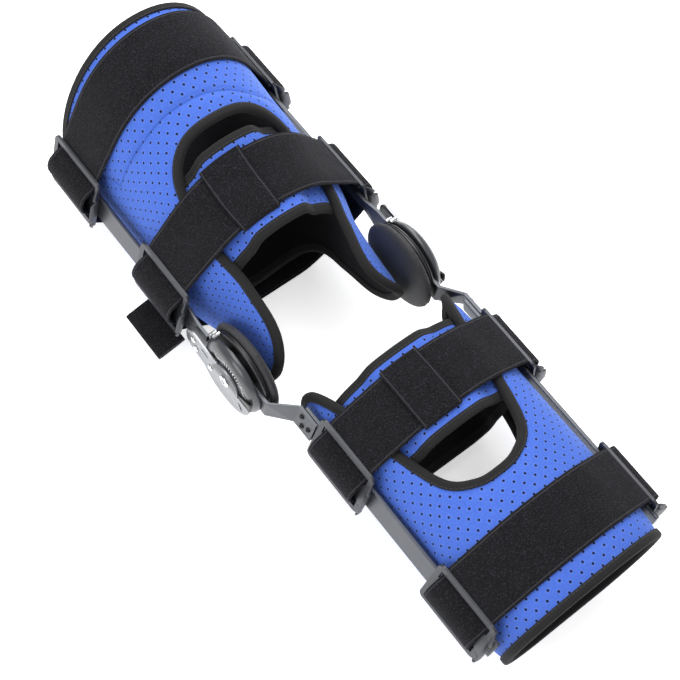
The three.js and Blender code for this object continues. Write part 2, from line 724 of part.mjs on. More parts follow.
const polar = (radius, degrees) => [
  radius * Math.cos(radians(degrees)),
  radius * Math.sin(radians(degrees)),
];

// Long tail on the thigh bar, a round hub, and a sector over the back half of the dial.
function coverShape() {
  const shape = new THREE.Shape();
  const half = COVER_WIDTH / 2;
  const corner = COVER_CORNER;
  const hubTurn = Math.asin((half - 1) / HUB_RADIUS);
  shape.moveTo(...polar(HUB_RADIUS, THREE.MathUtils.radToDeg(hubTurn)));
  shape.lineTo(HINGE_RADIUS - 2, half - 1);
  shape.lineTo(HINGE_RADIUS + 2, half);
  shape.lineTo(COVER_REACH - corner, half);
  shape.absarc(COVER_REACH - corner, half - corner, corner, Math.PI / 2, 0, true);
  shape.lineTo(COVER_REACH, -half + corner);
  shape.absarc(COVER_REACH - corner, -half + corner, corner, 0, -Math.PI / 2, true);
  shape.lineTo(HINGE_RADIUS - 4, -half - 3);
  shape.absarc(0, 0, COVER_SECTOR, radians(-42), radians(-176), true);
  shape.lineTo(...polar(HUB_RADIUS, -172));
  shape.absarc(0, 0, HUB_RADIUS, radians(-172), radians(-360) + hubTurn, true);
  for (const [along, across, lean] of [[26, 4, 20], [-20, -13, 62]]) {
    shape.holes.push(slotHole(along, across, lean));
  }
  return shape;
}

function slotHole(along, across, lean) {
  const hole = new THREE.Path();
  const tip = radians(lean);
  const reach = (SLOT_LENGTH - SLOT_WIDTH) / 2;
  const near = [along - reach * Math.cos(tip), across - reach * Math.sin(tip)];
  const far = [along + reach * Math.cos(tip), across + reach * Math.sin(tip)];
  hole.absarc(...far, SLOT_WIDTH / 2, tip - Math.PI / 2, tip + Math.PI / 2, false);
  hole.absarc(...near, SLOT_WIDTH / 2, tip + Math.PI / 2, tip + 1.5 * Math.PI, false);
  return hole;
}

function pointerShape() {
  const shape = new THREE.Shape();
  shape.moveTo(...polar(HUB_RADIUS + 1, 176));
  shape.lineTo(...polar(HUB_RADIUS + 1, 170));
  shape.lineTo(...polar(HINGE_RADIUS - 1, 163));
  shape.lineTo(...polar(HINGE_RADIUS - 1, 180));
  return shape;
}

const domeProfile = [
  [0, barInner],
  [HINGE_RADIUS, barInner],
  [HINGE_RADIUS, barInner + DOME_HEIGHT * 0.3],
  [HINGE_RADIUS - 1.5, barInner + DOME_HEIGHT * 0.62],
  [HINGE_RADIUS - 5, barInner + DOME_HEIGHT * 0.9],
  [HINGE_RADIUS - 9, barInner + DOME_HEIGHT],
  [0, barInner + DOME_HEIGHT],
];
const condyleProfile = [
  [0, padOuter],
  [CONDYLE_RADIUS - 1.5, padOuter],
  [CONDYLE_RADIUS, padOuter - CONDYLE_THICKNESS * 0.3],
  [CONDYLE_RADIUS - 3, padOuter - CONDYLE_THICKNESS * 0.7],
  [CONDYLE_RADIUS - 12, padOuter - CONDYLE_THICKNESS * 0.95],
  [0, padOuter - CONDYLE_THICKNESS],
];
const discProfile = [
  [0, discInner],
  [BACK_DISC_RADIUS, discInner],
  [BACK_DISC_RADIUS, discOuter - 1],
  [BACK_DISC_RADIUS - 1, discOuter],
  [0, discOuter],
];
const buttonProfile = (radius, seat, head) => [
  [0, seat],
  [radius, seat],
  [radius, seat + head * 0.4],
  [radius * 0.7, seat + head],
  [0, seat + head],
];

const COVER_RIVETS = [            // share of the cover's reach, and of its half width
  { name: 'end_front', along: 0.8, across: 0.42 },
  { name: 'end_back', along: 0.74, across: -0.42 },
  { name: 'inner', along: 0.36, across: -0.6 },
];
const STOPS = [
  { name: 'upper', turn: 32 },
  { name: 'lower', turn: 44 },
];
const ARM_SCREWS = [              // distance from the arm's end, and across its width
  { name: 'front', from_end: 14.5, across: 5 },
  { name: 'back', from_end: 11.5, across: -4.5 },
  { name: 'end', from_end: 5, across: -1 },
];

// The arm leaves the hinge flat, steps to the calf bar and lies on the outside of it.
function armStations(side) {
  const hingeX = side * (armInner + armOuter) / 2;
  const seat = BAR_THICKNESS + CLEARANCE;
  const flat = [ARM_HEAD * 0.9, BACK_DISC_RADIUS + 2];
  const stations = flat.map((y) => stationOnAxis(hingeX, -y));
  for (const y of [CALF_BAR_START - 3, ARM_END]) {
    const at = barFrame(calfLeg, side, -y);
    const [half, thick] = [BAR_WIDTH / 2, BAR_THICKNESS / 2];
    stations.push([
      at(0, -half, seat - thick),
      at(0, half, seat - thick),
      at(0, half, seat + thick),
      at(0, -half, seat + thick),
    ]);
  }
  return stations;

  function stationOnAxis(x, y) {
    const [half, thick] = [BAR_WIDTH / 2, side * BAR_THICKNESS / 2];
    return [
      new THREE.Vector3(x - thick, y, -half),
      new THREE.Vector3(x - thick, y, half),
      new THREE.Vector3(x + thick, y, half),
      new THREE.Vector3(x + thick, y, -half),
    ];
  }
}

const wasm = await Module();
wasm.setup();

function solid(geometry) {
  const clean = watertight(geometry);
  return new wasm.Manifold(
    new wasm.Mesh({
      numProp: 3,
      vertProperties: clean.getAttribute('position').array,
      triVerts: Uint32Array.from(clean.getIndex().array),
    }),
  );
}

function fromSolid(manifold) {
  const mesh = manifold.getMesh();
  const geometry = new THREE.BufferGeometry();
  geometry.setAttribute('position', new THREE.BufferAttribute(mesh.vertProperties, 3));
  geometry.setIndex([...mesh.triVerts]);
  geometry.computeVertexNormals();
  return geometry;
}

for (const { name, side } of sides) {
  addPiece(`condyle_pad_${name}`, turned(condyleProfile, side), blackPad);
  addPiece(`hinge_back_disc_${name}`, turned(discProfile, side), blackPlastic);
  addPiece(`hinge_dial_${name}`, turned(domeProfile, side), dialPlastic);
  addPiece(`hinge_cover_${name}`, layer(coverShape(), side, coverInner, COVER_THICKNESS), coverMetal);
  addPiece(
    `hinge_pointer_${name}`,
    layer(pointerShape(), side, coverInner, POINTER_THICKNESS),
    blackPlastic,
  );
  const pivot = buttonProfile(PIVOT_RADIUS, coverOuter + CLEARANCE, RIVET_HEAD);
  addPiece(`hinge_pivot_${name}`, turned(pivot, side, 0, 0, 16), chrome);

  const head = solid(
    turned(
      [[0, armInner], [ARM_HEAD, armInner], [ARM_HEAD, armOuter], [0, armOuter]],
      side,
    ),
  );
  const arm = head.add(solid(stripBody(armStations(side))));
  addPiece(`hinge_arm_${name}`, fromSolid(arm), satinAluminium);

  for (const rivet of COVER_RIVETS) {
    const y = rivet.along * COVER_REACH;
    const z = (rivet.across * COVER_WIDTH) / 2;
    const button = buttonProfile(RIVET_RADIUS, coverOuter + CLEARANCE, RIVET_HEAD);
    const geometry = turned(button, side, y, z, 10);
    addPiece(`cover_rivet_${rivet.name}_${name}`, geometry, chrome);
  }
  for (const stop of STOPS) {
    const [y, z] = polar(HINGE_RADIUS + STOP_RADIUS + CLEARANCE, stop.turn);
    const seat = discOuter + CLEARANCE;
    const pin = [[0, seat], [STOP_RADIUS, seat], [STOP_RADIUS, seat + STOP_HEIGHT], [0, seat + STOP_HEIGHT]];
    addPiece(`rom_stop_${stop.name}_${name}`, turned(pin, side, y, z, 10), chrome);
  }
  for (const screw of ARM_SCREWS) {
    const seat = 1.5 * BAR_THICKNESS + 2 * CLEARANCE;
    const disc = new THREE.CylinderGeometry(SCREW_RADIUS, SCREW_RADIUS, SCREW_HEAD, 12);
    disc.rotateX(Math.PI / 2);
    disc.translate(0, screw.across, SCREW_HEAD / 2);
    const geometry = onBar(disc, calfLeg, side, -ARM_END + screw.from_end, seat);
    addPiece(`arm_screw_${screw.name}_${name}`, geometry, blackPlastic);
  }
}

// The lowest face goes to Z = 0 and the middle of the footprint to the origin.
const extent = new THREE.Box3().setFromObject(brace);
const middle = extent.getCenter(new THREE.Vector3());
brace.position.set(-middle.x, -middle.y, -extent.min.z);

export default brace;
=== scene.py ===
import json
import math

import bmesh
import bpy
from mathutils import Matrix, Vector, noise


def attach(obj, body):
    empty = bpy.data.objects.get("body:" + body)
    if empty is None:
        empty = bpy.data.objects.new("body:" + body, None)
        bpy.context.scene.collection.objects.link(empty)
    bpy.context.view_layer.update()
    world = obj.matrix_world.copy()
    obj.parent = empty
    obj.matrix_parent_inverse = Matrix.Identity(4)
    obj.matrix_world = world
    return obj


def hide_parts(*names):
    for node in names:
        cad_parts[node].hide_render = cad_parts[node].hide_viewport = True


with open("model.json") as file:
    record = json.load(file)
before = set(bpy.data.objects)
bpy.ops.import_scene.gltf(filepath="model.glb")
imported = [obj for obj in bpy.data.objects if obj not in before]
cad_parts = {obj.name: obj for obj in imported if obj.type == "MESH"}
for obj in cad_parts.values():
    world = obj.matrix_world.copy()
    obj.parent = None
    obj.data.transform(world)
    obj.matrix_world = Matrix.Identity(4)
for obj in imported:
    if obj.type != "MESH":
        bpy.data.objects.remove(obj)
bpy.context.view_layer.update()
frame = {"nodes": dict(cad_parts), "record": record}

# The camera stands above the calf end on the wearer's right-hand side and looks down at the
# knee. Its turn, height and roll, and a 72 mm lens, are matched to the photograph's outline.
KNEE = Vector(frame["record"]["behaviour"]["joints"][0]["pos_m"])
CAMERA_TURN = math.radians(-47.2)
CAMERA_HEIGHT = math.radians(64.3)
CAMERA_ROLL = math.radians(10.3)
CAMERA_DISTANCE = 1.052
CAMERA_AIM = KNEE + Vector((-0.004, -0.0242, 0))

back = Vector(
    (
        math.sin(CAMERA_TURN) * math.cos(CAMERA_HEIGHT),
        -math.cos(CAMERA_TURN) * math.cos(CAMERA_HEIGHT),
        math.sin(CAMERA_HEIGHT),
    )
)
level = Vector((math.cos(CAMERA_TURN), math.sin(CAMERA_TURN), 0))
upright = back.cross(level)
right = level * math.cos(CAMERA_ROLL) + upright * math.sin(CAMERA_ROLL)
top = upright * math.cos(CAMERA_ROLL) - level * math.sin(CAMERA_ROLL)
lens = bpy.data.cameras.new("photo_camera")
lens.lens = 72
lens.sensor_width = 36
lens.clip_start = 0.05
camera = bpy.data.objects.new("photo_camera", lens)
bpy.context.scene.collection.objects.link(camera)
facing = Matrix((right, top, back)).transposed().to_4x4()
camera.matrix_world = Matrix.Translation(CAMERA_AIM + back * CAMERA_DISTANCE) @ facing
bpy.context.scene.camera = camera

# The studio table: a matt white laminate sheet, so pale that it reads as the picture's plain
# ground. Large soft boxes hang over it, with a white room round them for the metal to mirror.


def linear(code):
    """An sRGB hex colour as linear red, green, blue and alpha."""
    parts = [int(code[i : i + 2], 16) / 255 for i in (1, 3, 5)]
    return [p / 12.92 if p <= 0.04045 else ((p + 0.055) / 1.055) ** 2.4 for p in parts] + [1.0]


def give(tree, socket, value):
    """Puts a value, a colour's hex code or the output of another node on an input socket."""
    if isinstance(value, bpy.types.NodeSocket):
        tree.links.new(value, socket)
    else:
        socket.default_value = linear(value) if isinstance(value, str) else value


def add(tree, kind, inputs=(), out=0, **settings):
    """Adds one shader node with its inputs and settings, and returns one of its outputs."""
    node = tree.nodes.new("ShaderNode" + kind)
    for key, value in settings.items():
        setattr(node, key, value)
    for key, value in dict(inputs).items():
        give(tree, node.inputs[key], value)
    return node.outputs[out]


def finish(name, **sockets):
    """A new material, its node tree and its shader, with even values on the shader's sockets."""
    material = bpy.data.materials.new(name)
    material.use_nodes = True
    tree = material.node_tree
    shader = tree.nodes["Principled BSDF"]
    for key, value in sockets.items():
        give(tree, shader.inputs[key.replace("_", " ")], value)
    return material, tree, shader


# Settings of a node that mixes two colours.
COLOURS = {"out": 2, "data_type": "RGBA"}

white_laminate, tree, shader = finish(
    "matt_white_laminate", Roughness=0.85, Emission_Color="#ffffff", Emission_Strength=0.55
)
mottle = add(tree, "TexNoise", {"Scale": 3.0, "Detail": 2.0})
shade = add(tree, "Mix", {0: mottle, 6: "#f9f9f9", 7: "#fdfdfd"}, **COLOURS)
give(tree, shader.inputs["Base Color"], shade)

table_top = bpy.data.meshes.new("table_top")
table_top.from_pydata([(-4, -4, 0), (4, -4, 0), (4, 4, 0), (-4, 4, 0)], [], [(0, 1, 2, 3)])
table_top.materials.append(white_laminate)
table = bpy.data.objects.new("table_top", table_top)
bpy.context.scene.collection.objects.link(table)

room = bpy.data.worlds.new("white_room")
room.use_nodes = True
room.node_tree.nodes["Background"].inputs["Color"].default_value = linear("#ffffff")
room.node_tree.nodes["Background"].inputs["Strength"].default_value = 0.58
bpy.context.scene.world = room
bpy.context.scene.view_settings.view_transform = "Standard"

SOFT_BOXES = [
    {"name": "overhead_box", "at": (0.25, 0.35, 1.35), "size": 1.1, "power": 15},
    {"name": "left_box", "at": (-1.1, -0.1, 0.8), "size": 0.8, "power": 7},
    {"name": "far_box", "at": (0.9, 0.9, 0.7), "size": 0.7, "power": 8},
]
for box in SOFT_BOXES:
    lamp = bpy.data.lights.new(box["name"], "AREA")
    lamp.shape = "SQUARE"
    lamp.size = box["size"]
    lamp.energy = box["power"]
    stand = bpy.data.objects.new(box["name"], lamp)
    stand.location = box["at"]
    stand.rotation_euler = (KNEE - stand.location).to_track_quat("-Z", "Y").to_euler()
    bpy.context.scene.collection.objects.link(stand)

# Thigh and calf wraps: 5 mm open-cell foam with a blue brushed knit bonded outside and a black
# lining inside, die-cut, punched with rows of 1.8 mm holes and closed into a tube. The calf
# wrap is the smaller one. Both lie on their backs, pressed flat where they rest.
WALL = 5
PUFF = 0.9
BACK_DEPTH = 66
BACK_FLATTENING = 4
FRONT_ROUNDNESS = 2.1
BACK_ROUNDNESS = 2.5
HOLE_SPACING_MM = 10.3
HOLE_RADIUS_MM = 0.95
WRAP_COLUMNS = 176

THIGH = {
    "body": "thigh",
    "taper": [
        (-0.1, 0.83, 0.6), (0.16, 0.86, 0.64), (0.34, 0.99, 0.7), (0.6, 1.0, 0.86),
        (0.85, 1.0, 1.0), (1.0, 1.01, 1.02),
    ],
    "rim": 250,
    "half_width": 77.5,
    "front": 106,
    "widest": -12,
    "shift": 0,
    "bar_x": 87.5,
    "lean": 15,
    "arch_turn": 91,
    "edge": [
        (-90, 78), (-58, 78), (-36, 53), (-22, 6), (2, -19), (25, -19), (41, 4), (47, 58),
        (51, 101.4), (56, 127.6), (70, 142.3), (91, 145),
    ],
    "level": 170,
}
CALF = {
    "body": "calf",
    "taper": [(0.1, 0.97, 0.84), (0.36, 1.0, 0.94), (0.83, 1.0, 1.0), (1.0, 0.99, 0.99)],
    "rim": -291,
    "half_width": 74,
    "front": 56,
    "widest": -8,
    "shift": 15.5,
    "bar_x": 80,
    "lean": 0,
    "arch_turn": 83,
    "edge": [
        (-90, -192), (-66, -183.1), (-50, -147.6), (-42, -97.3), (-30, -55.8), (-5, -44),
        (18, -49.6), (35, -80.4), (45, -128), (56, -167.2), (70, -181.2), (83, -184),
    ],
    "level": -200,
}


def placed(x, y, z):
    """Millimetres from the knee axis, as metres in the frame."""
    return KNEE + Vector((x, y, z)) * 0.001


def smooth_share(value, low, high):
    """0 below low, 1 above high, and an eased rise between them."""
    share = min(1.0, max(0.0, (value - low) / (high - low)))
    return share * share * (3 - 2 * share)


def taper_at(leg, y, column):
    """A wrap's width (column 1) or front depth (column 2) at y, as a share of its full size."""
    rows = leg["taper"]
    along = min(max(y / leg["rim"], rows[0][0]), rows[-1][0])
    after = max(1, next(i for i, row in enumerate(rows) if row[0] >= along))
    low, high = rows[after - 1], rows[after]
    return low[column] + (high[column] - low[column]) * smooth_share(along, low[0], high[0])


def on_section(leg, y, turn):
    """Outer face of a wrap as x and z. Turn 0 is the left side, 90 the front, 270 the back."""
    c, s = math.cos(math.radians(turn)), math.sin(math.radians(turn))
    power = 2 / (FRONT_ROUNDNESS if s > 0 else BACK_ROUNDNESS)
    width = leg["half_width"] * taper_at(leg, y, 1)
    rise = leg["front"] * taper_at(leg, y, 2) - leg["widest"]
    drop = BACK_DEPTH + BACK_FLATTENING + leg["widest"]
    x = leg["shift"] - width * math.copysign(abs(c) ** power, c)
    z = leg["widest"] + (rise if s > 0 else drop) * math.copysign(abs(s) ** power, s)
    return x, z


def off_section(leg, y, turn, offset):
    """The same point moved off the face, pressed flat where it rests. Past its strap, the
    right thigh flap has fallen in toward the leg, most at its front edge."""
    ahead, behind = on_section(leg, y, turn + 0.5), on_section(leg, y, turn - 0.5)
    out = Vector((behind[1] - ahead[1], ahead[0] - behind[0])).normalized()
    x, z = on_section(leg, y, turn)
    x, z = x + out.x * offset, max(z + out.y * offset, -BACK_DEPTH - offset)
    if x > 0:
        x -= leg["lean"] * smooth_share(z, -10, 45) * (1 - smooth_share(y, -10, 60))
    return Vector((x, y, z))


def girth(leg):
    """Arc length round the section at each degree of turn from -180 to 540, from the back."""
    run, table = 0.0, {}
    for turn in range(-180, 541):
        table[turn] = run
        a, b = on_section(leg, leg["level"], turn), on_section(leg, leg["level"], turn + 1)
        run += math.dist(a, b)
    return table


THIGH["girth"] = girth(THIGH)
CALF["girth"] = girth(CALF)


def round_leg(leg, turn):
    """Arc length round a wrap at any turn, in millimetres."""
    low = math.floor(turn)
    table = leg["girth"]
    return table[low] + (table[low + 1] - table[low]) * (turn - low)


def between(a, b, c, d, t):
    """A share t of the way from b to c, on a smooth curve that also passes a and d."""
    bend = (2 * a - 5 * b + 4 * c - d) * t * t
    return 0.5 * (2 * b + (c - a) * t + bend + (3 * b - a - 3 * c + d) * t**3)


def through(points, count):
    """A smooth curve through points, as count + 1 samples."""
    samples = []
    for n in range(count + 1):
        place = n / count * (len(points) - 1)
        i = min(int(place), len(points) - 2)
        t = place - i
        p = [points[max(i - 1, 0)], points[i], points[i + 1], points[min(i + 2, len(points) - 1)]]
        samples.append(Vector([between(*row, t) for row in zip(*p)]))
    return samples


def evenly(samples, count, step):
    """Points spaced evenly along samples. step gives the length between two of them."""
    run = [0.0]
    for a, b in zip(samples, samples[1:]):
        run.append(run[-1] + step(a, b))
    spaced, k = [], 0
    for n in range(count):
        goal = n / count * run[-1]
        while run[k + 1] < goal:
            k += 1
        share = (goal - run[k]) / max(run[k + 1] - run[k], 1e-9)
        spaced.append(samples[k].lerp(samples[k + 1], share))
    return spaced, run[-1]


def knee_edge(leg, count):
    """Even points on the shaped edge at the knee, each with the direction into the wall."""
    left = leg["edge"]
    right = [(2 * leg["arch_turn"] - turn, y) for turn, y in reversed(left[:-1])]
    degree = lambda y, turn: math.dist(on_section(leg, y, turn + 1), on_section(leg, y, turn - 1)) / 2
    points, length = evenly(
        through(left + right, count * 12),
        count,
        lambda a, b: math.hypot((b.x - a.x) * degree(b.y, b.x), b.y - a.y),
    )
    rows = []
    for i, point in enumerate(points):
        before = points[i - 1] if i else points[-1] - Vector((360, 0))
        after = points[i + 1] if i < count - 1 else points[0] + Vector((360, 0))
        scale = degree(point.y, point.x)
        ahead = Vector(((after.x - before.x) * scale, after.y - before.y)).normalized()
        inward = math.copysign(1, leg["rim"])
        rows.append((point.x, point.y, -inward * ahead.y / scale, inward * ahead.x))
    return rows, length


def rim_edge(leg, count):
    """Even points on the straight edge far from the knee, in the same form."""
    inward = -math.copysign(1, leg["rim"])
    rows = [(-90 + 360 * i / count, leg["rim"], 0.0, inward) for i in range(count)]
    return rows, leg["girth"][270] - leg["girth"][-90]


def close_up(mesh, sharp):
    """Joins points that meet, turns the faces outward and marks edges over sharp degrees."""
    shaped = bmesh.new()
    shaped.from_mesh(mesh)
    bmesh.ops.remove_doubles(shaped, verts=shaped.verts, dist=1e-6)
    bmesh.ops.recalc_face_normals(shaped, faces=shaped.faces)
    shaped.to_mesh(mesh)
    shaped.free()
    mesh.set_sharp_from_angle(angle=math.radians(sharp))


def swept(name, stations, ring, point, flat, closed=True, slot=lambda i, k: 0):
    """A closed body swept through stations, each a closed ring of points. flat(i, k, face) is
    the cloth's own place in metres, from which weave, holes and stitches are laid out."""
    count = stations if closed else stations + 1
    mesh = bpy.data.meshes.new(name)
    places = [point(i, k) for i in range(count) for k in range(ring)]
    faces, lays, slots = [], [], []
    for i in range(stations):
        for k in range(ring):
            corners = [(i, k), (i + 1, k), (i + 1, k + 1), (i, k + 1)]
            faces.append([(a % count) * ring + b % ring for a, b in corners])
            lays += [flat(a, b, k) for a, b in corners]
            slots.append(slot(i, k))
    if not closed:
        for i in (0, stations):
            order = range(ring) if i else range(ring - 1, -1, -1)
            faces.append([i * ring + k for k in order])
            lays += [flat(i, k, k) for k in order]
            slots.append(slot(min(i, stations - 1), ring // 2))
    mesh.from_pydata(places, [], faces)
    layer = mesh.uv_layers.new(name="flat")
    layer.data.foreach_set("uv", [n for lay in lays for n in lay])
    mesh.polygons.foreach_set("material_index", slots)
    mesh.shade_smooth()
    close_up(mesh, 50)
    return mesh


def fitted(mesh, body, slot, finishes, *nodes):
    """A piece that stands for CAD nodes, rides on a body and takes the finishes it is given.
    Its slot is not used.
    """
    piece = bpy.data.objects.new(mesh.name, mesh)
    for material in finishes:
        mesh.materials.append(material)
    bpy.context.scene.collection.objects.link(piece)
    if nodes:
        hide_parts(*nodes)
    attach(piece, body)
    return piece


# The blue face is a fine brushed knit: matt, with a soft sheen at a slant. The punched holes
# are painted dark navy, the dark foam down each hole in painted shade, in staggered rows with
# each edge turned down a little. The real nap is under 0.5 mm, and is drawn at about 1.2 mm.
blue_knit, tree, shader = finish(
    "brushed_blue_knit_on_punched_foam", Roughness=0.82, Sheen_Weight=0.45, Sheen_Roughness=0.4,
    Sheen_Tint="#9dbcff", Specular_IOR_Level=0.25,
)
lay = add(tree, "UVMap", uv_map="flat")
grid = add(tree, "VectorMath", {0: lay, "Scale": 1000 / HOLE_SPACING_MM}, operation="SCALE")
reach = []
for start in ((0.0, 0.0, 0.0), (0.5, 0.5, 0.0)):
    moved = add(tree, "VectorMath", {0: grid, 1: start}, operation="ADD")
    cell = add(tree, "VectorMath", {0: moved}, operation="FRACTION")
    middle = add(tree, "VectorMath", {0: cell, 1: (0.5, 0.5, 0)}, operation="SUBTRACT")
    reach.append(add(tree, "VectorMath", {0: middle}, out="Value", operation="LENGTH"))
near = add(tree, "Math", {0: reach[0], 1: reach[1]}, operation="MINIMUM")
rim_share = HOLE_RADIUS_MM / HOLE_SPACING_MM
hole = add(tree, "MapRange", {0: near, 1: rim_share * 0.85, 2: rim_share * 1.2, 3: 1.0, 4: 0.0})
halo = add(tree, "MapRange", {0: near, 1: rim_share * 1.2, 2: rim_share * 2.4, 3: 1.0, 4: 0.0})
# The sewn line on the thigh, below the upper strap, as turn and distance from the knee axis.
# It draws the face in by its depth, less and less over its spread, in millimetres.
SEWN_LINE = [
    (14, 196), (19, 184), (22, 171), (53, 170), (70, 171), (94, 168), (109, 163), (121, 157),
    (135, 152), (146, 150),
]
SEWN_BAND = (140, 200)
SEWN_DEPTH = 0.8
SEWN_SPREAD = 4
sewn_path = [Vector((round_leg(THIGH, turn) * 0.001, y * 0.001, 0)) for turn, y in SEWN_LINE]
seam_gap = 1.0
for start, end in zip(sewn_path, sewn_path[1:]):
    run = end - start
    along = add(tree, "VectorMath", {0: lay, 1: start}, operation="SUBTRACT")
    unit = run / run.length_squared
    share = add(tree, "VectorMath", {0: along, 1: unit}, operation="DOT_PRODUCT", out="Value")
    held = add(tree, "Clamp", {0: share})
    foot = add(tree, "VectorMath", {0: run, "Scale": held}, operation="SCALE")
    gap = add(tree, "VectorMath", {0: along, 1: foot}, operation="DISTANCE", out="Value")
    seam_gap = add(tree, "Math", {0: seam_gap, 1: gap}, operation="MINIMUM")
# The thin darker line along the sewn line is painted shade in its groove.
seam_groove_shade = add(tree, "MapRange", {0: seam_gap, 1: 0.0003, 2: 0.0012, 3: 1.0, 4: 0.0})
drawn_in = add(tree, "MapRange", {0: seam_gap, 1: 0.0, 2: 0.004, 3: 0.0, 4: 1.0})
place = add(tree, "TexCoord", out="Object")
nap = add(tree, "TexNoise", {"Vector": place, "Scale": 830.0, "Detail": 3.0})
patch = add(tree, "TexNoise", {"Vector": place, "Scale": 45.0, "Detail": 2.0})
knit = add(tree, "Mix", {0: nap, 6: "#2043a4", 7: "#5f82e2"}, **COLOURS)
worn = add(tree, "Mix", {0: patch, 6: "#385fc0", 7: "#486cca"}, **COLOURS)
cloth = add(tree, "Mix", {0: 0.5, 6: knit, 7: worn}, **COLOURS)
lifted = add(tree, "Math", {0: halo, 1: 0.35}, operation="MULTIPLY")
ringed = add(tree, "Mix", {0: lifted, 6: cloth, 7: "#6381d5"}, **COLOURS)
# The holes are painted dark navy: painted shade down each hole over the dark foam.
punched = add(tree, "Mix", {0: hole, 6: ringed, 7: "#0a1130"}, **COLOURS)
faint = add(tree, "Math", {0: seam_groove_shade, 1: 0.6}, operation="MULTIPLY")
sewn = add(tree, "Mix", {0: faint, 6: punched, 7: "#2348a0"}, **COLOURS)
give(tree, shader.inputs["Base Color"], sewn)
groove = add(tree, "Bump", {"Height": drawn_in, "Strength": 0.6, "Distance": 0.0016})
pile = add(tree, "Bump", {"Height": nap, "Strength": 0.35, "Distance": 0.0004, "Normal": groove})
dent = add(tree, "Math", {0: hole, 1: -1.0}, operation="MULTIPLY")
dented = add(tree, "Bump", {"Height": dent, "Strength": 0.8, "Distance": 0.0009, "Normal": pile})
give(tree, shader.inputs["Normal"], dented)


def mottled(name, scale, detail, dark, light, **sockets):
    """A material whose colour drifts between two shades. Gives its tree, shader and drift too."""
    material, tree, shader = finish(name, **sockets)
    place = add(tree, "TexCoord", out="Object")
    drift = add(tree, "TexNoise", {"Vector": place, "Scale": scale, "Detail": detail})
    shade = add(tree, "Mix", {0: drift, 6: dark, 7: light}, **COLOURS)
    give(tree, shader.inputs["Base Color"], shade)
    return material, tree, shader, drift


# The lining is a black brushed polyester, close to the loop fabric but finer.
black_lining, tree, shader, nap = mottled(
    "black_brushed_lining", 1100.0, 3.0, "#0c0c0e", "#202024", Roughness=0.95, Sheen_Weight=0.12,
    Sheen_Tint="#8a8a92", Specular_IOR_Level=0.15,
)
pile = add(tree, "Bump", {"Height": nap, "Strength": 0.4, "Distance": 0.0004})
give(tree, shader.inputs["Normal"], pile)


def sewn_dip(leg, turn, y):
    """How far a wrap's face is drawn in at the sewn line, in millimetres."""
    if leg is not THIGH or not SEWN_BAND[0] <= y <= SEWN_BAND[1]:
        return 0.0
    across = math.radians(leg["half_width"] * 1.1)
    nearest = 99.0
    for (t0, y0), (t1, y1) in zip(SEWN_LINE, SEWN_LINE[1:]):
        a, b = Vector((t0 * across, y0)), Vector((t1 * across, y1))
        p = Vector((turn * across, y))
        share = max(0.0, min(1.0, (p - a).dot(b - a) / (b - a).length_squared))
        nearest = min(nearest, (p - a.lerp(b, share)).length)
    return SEWN_DEPTH * math.exp(-((nearest / SEWN_SPREAD) ** 2))


def wrap_mesh(name, leg):
    edge, _ = knee_edge(leg, WRAP_COLUMNS)
    inset = 5.5
    rim = leg["rim"] - math.copysign(inset, leg["rim"])
    shares = [0, 0.012, 0.03, 0.055, 0.085] + [0.085 + 0.83 * n / 34 for n in range(1, 35)]
    shares += [0.945, 0.97, 0.988, 1]
    rows = len(shares)
    out_and_back = shares + shares[::-1]

    def at(i, k):
        turn, y, per_turn, per_y = edge[i % WRAP_COLUMNS]
        share = out_and_back[k]
        near = y + per_y * inset
        return turn + per_turn * inset + (360 if i >= WRAP_COLUMNS else 0), near + (rim - near) * share

    def point(i, k):
        turn, y = at(i, k)
        turn_in = (turn + 90) % 360 - 90
        share = out_and_back[k]
        margin = min(share, 1 - share) * abs(rim - edge[i % WRAP_COLUMNS][1])
        soft = noise.noise(Vector((turn_in * 0.03, y * 0.02, 3 if leg is THIGH else 8)))
        offset = -0.7 + (PUFF + 0.7) * smooth_share(margin, 0, 12)
        offset += 0.35 * soft - sewn_dip(leg, turn_in, y)
        if k >= rows:
            offset = -WALL + 0.5 - 0.6 * smooth_share(margin, 0, 12)
        return placed(*off_section(leg, y, turn_in, offset))

    def flat(i, k, face):
        turn, y = at(i, k % (2 * rows))
        return round_leg(leg, turn) * 0.001, y * 0.001

    return swept(name, WRAP_COLUMNS, 2 * rows, point, flat, slot=lambda i, k: 0 if k < rows - 1 else 1)


for leg in (THIGH, CALF):
    name = leg["body"] + "_wrap"
    mesh = wrap_mesh(name + "_foam", leg)
    wrap = fitted(mesh, leg["body"], "perforated_blue_foam", [blue_knit, black_lining], name)

# Edge bindings: a black knitted polyester tape folded over each raw edge of the wraps and sewn
# through with one row of lockstitch on each side.
TAPE_PROFILE = [
    (7.0, 0.3), (6.6, 0.85), (5.0, 0.95), (3.0, 1.05), (1.4, 0.75), (0.4, -0.5), (0.0, -2.5),
    (0.4, -4.5), (1.4, -5.7), (3.0, -5.95), (5.0, -5.9), (6.6, -5.8), (7.0, -5.3), (6.4, -2.5),
]
STITCH_MM = 3.2

binding_knit, tree, shader = finish(
    "knitted_black_binding_tape", Roughness=0.9, Sheen_Weight=0.12, Sheen_Roughness=0.5,
    Sheen_Tint="#8a8a8c", Specular_IOR_Level=0.25,
)
lay = add(tree, "UVMap", uv_map="flat")
metres_along = add(tree, "SeparateXYZ", {0: lay}, out="X")
metres_across = add(tree, "SeparateXYZ", {0: lay}, out="Y")
along = add(tree, "Math", {0: metres_along, 1: 1000.0}, operation="MULTIPLY")
across = add(tree, "Math", {0: metres_across, 1: 1000.0}, operation="MULTIPLY")
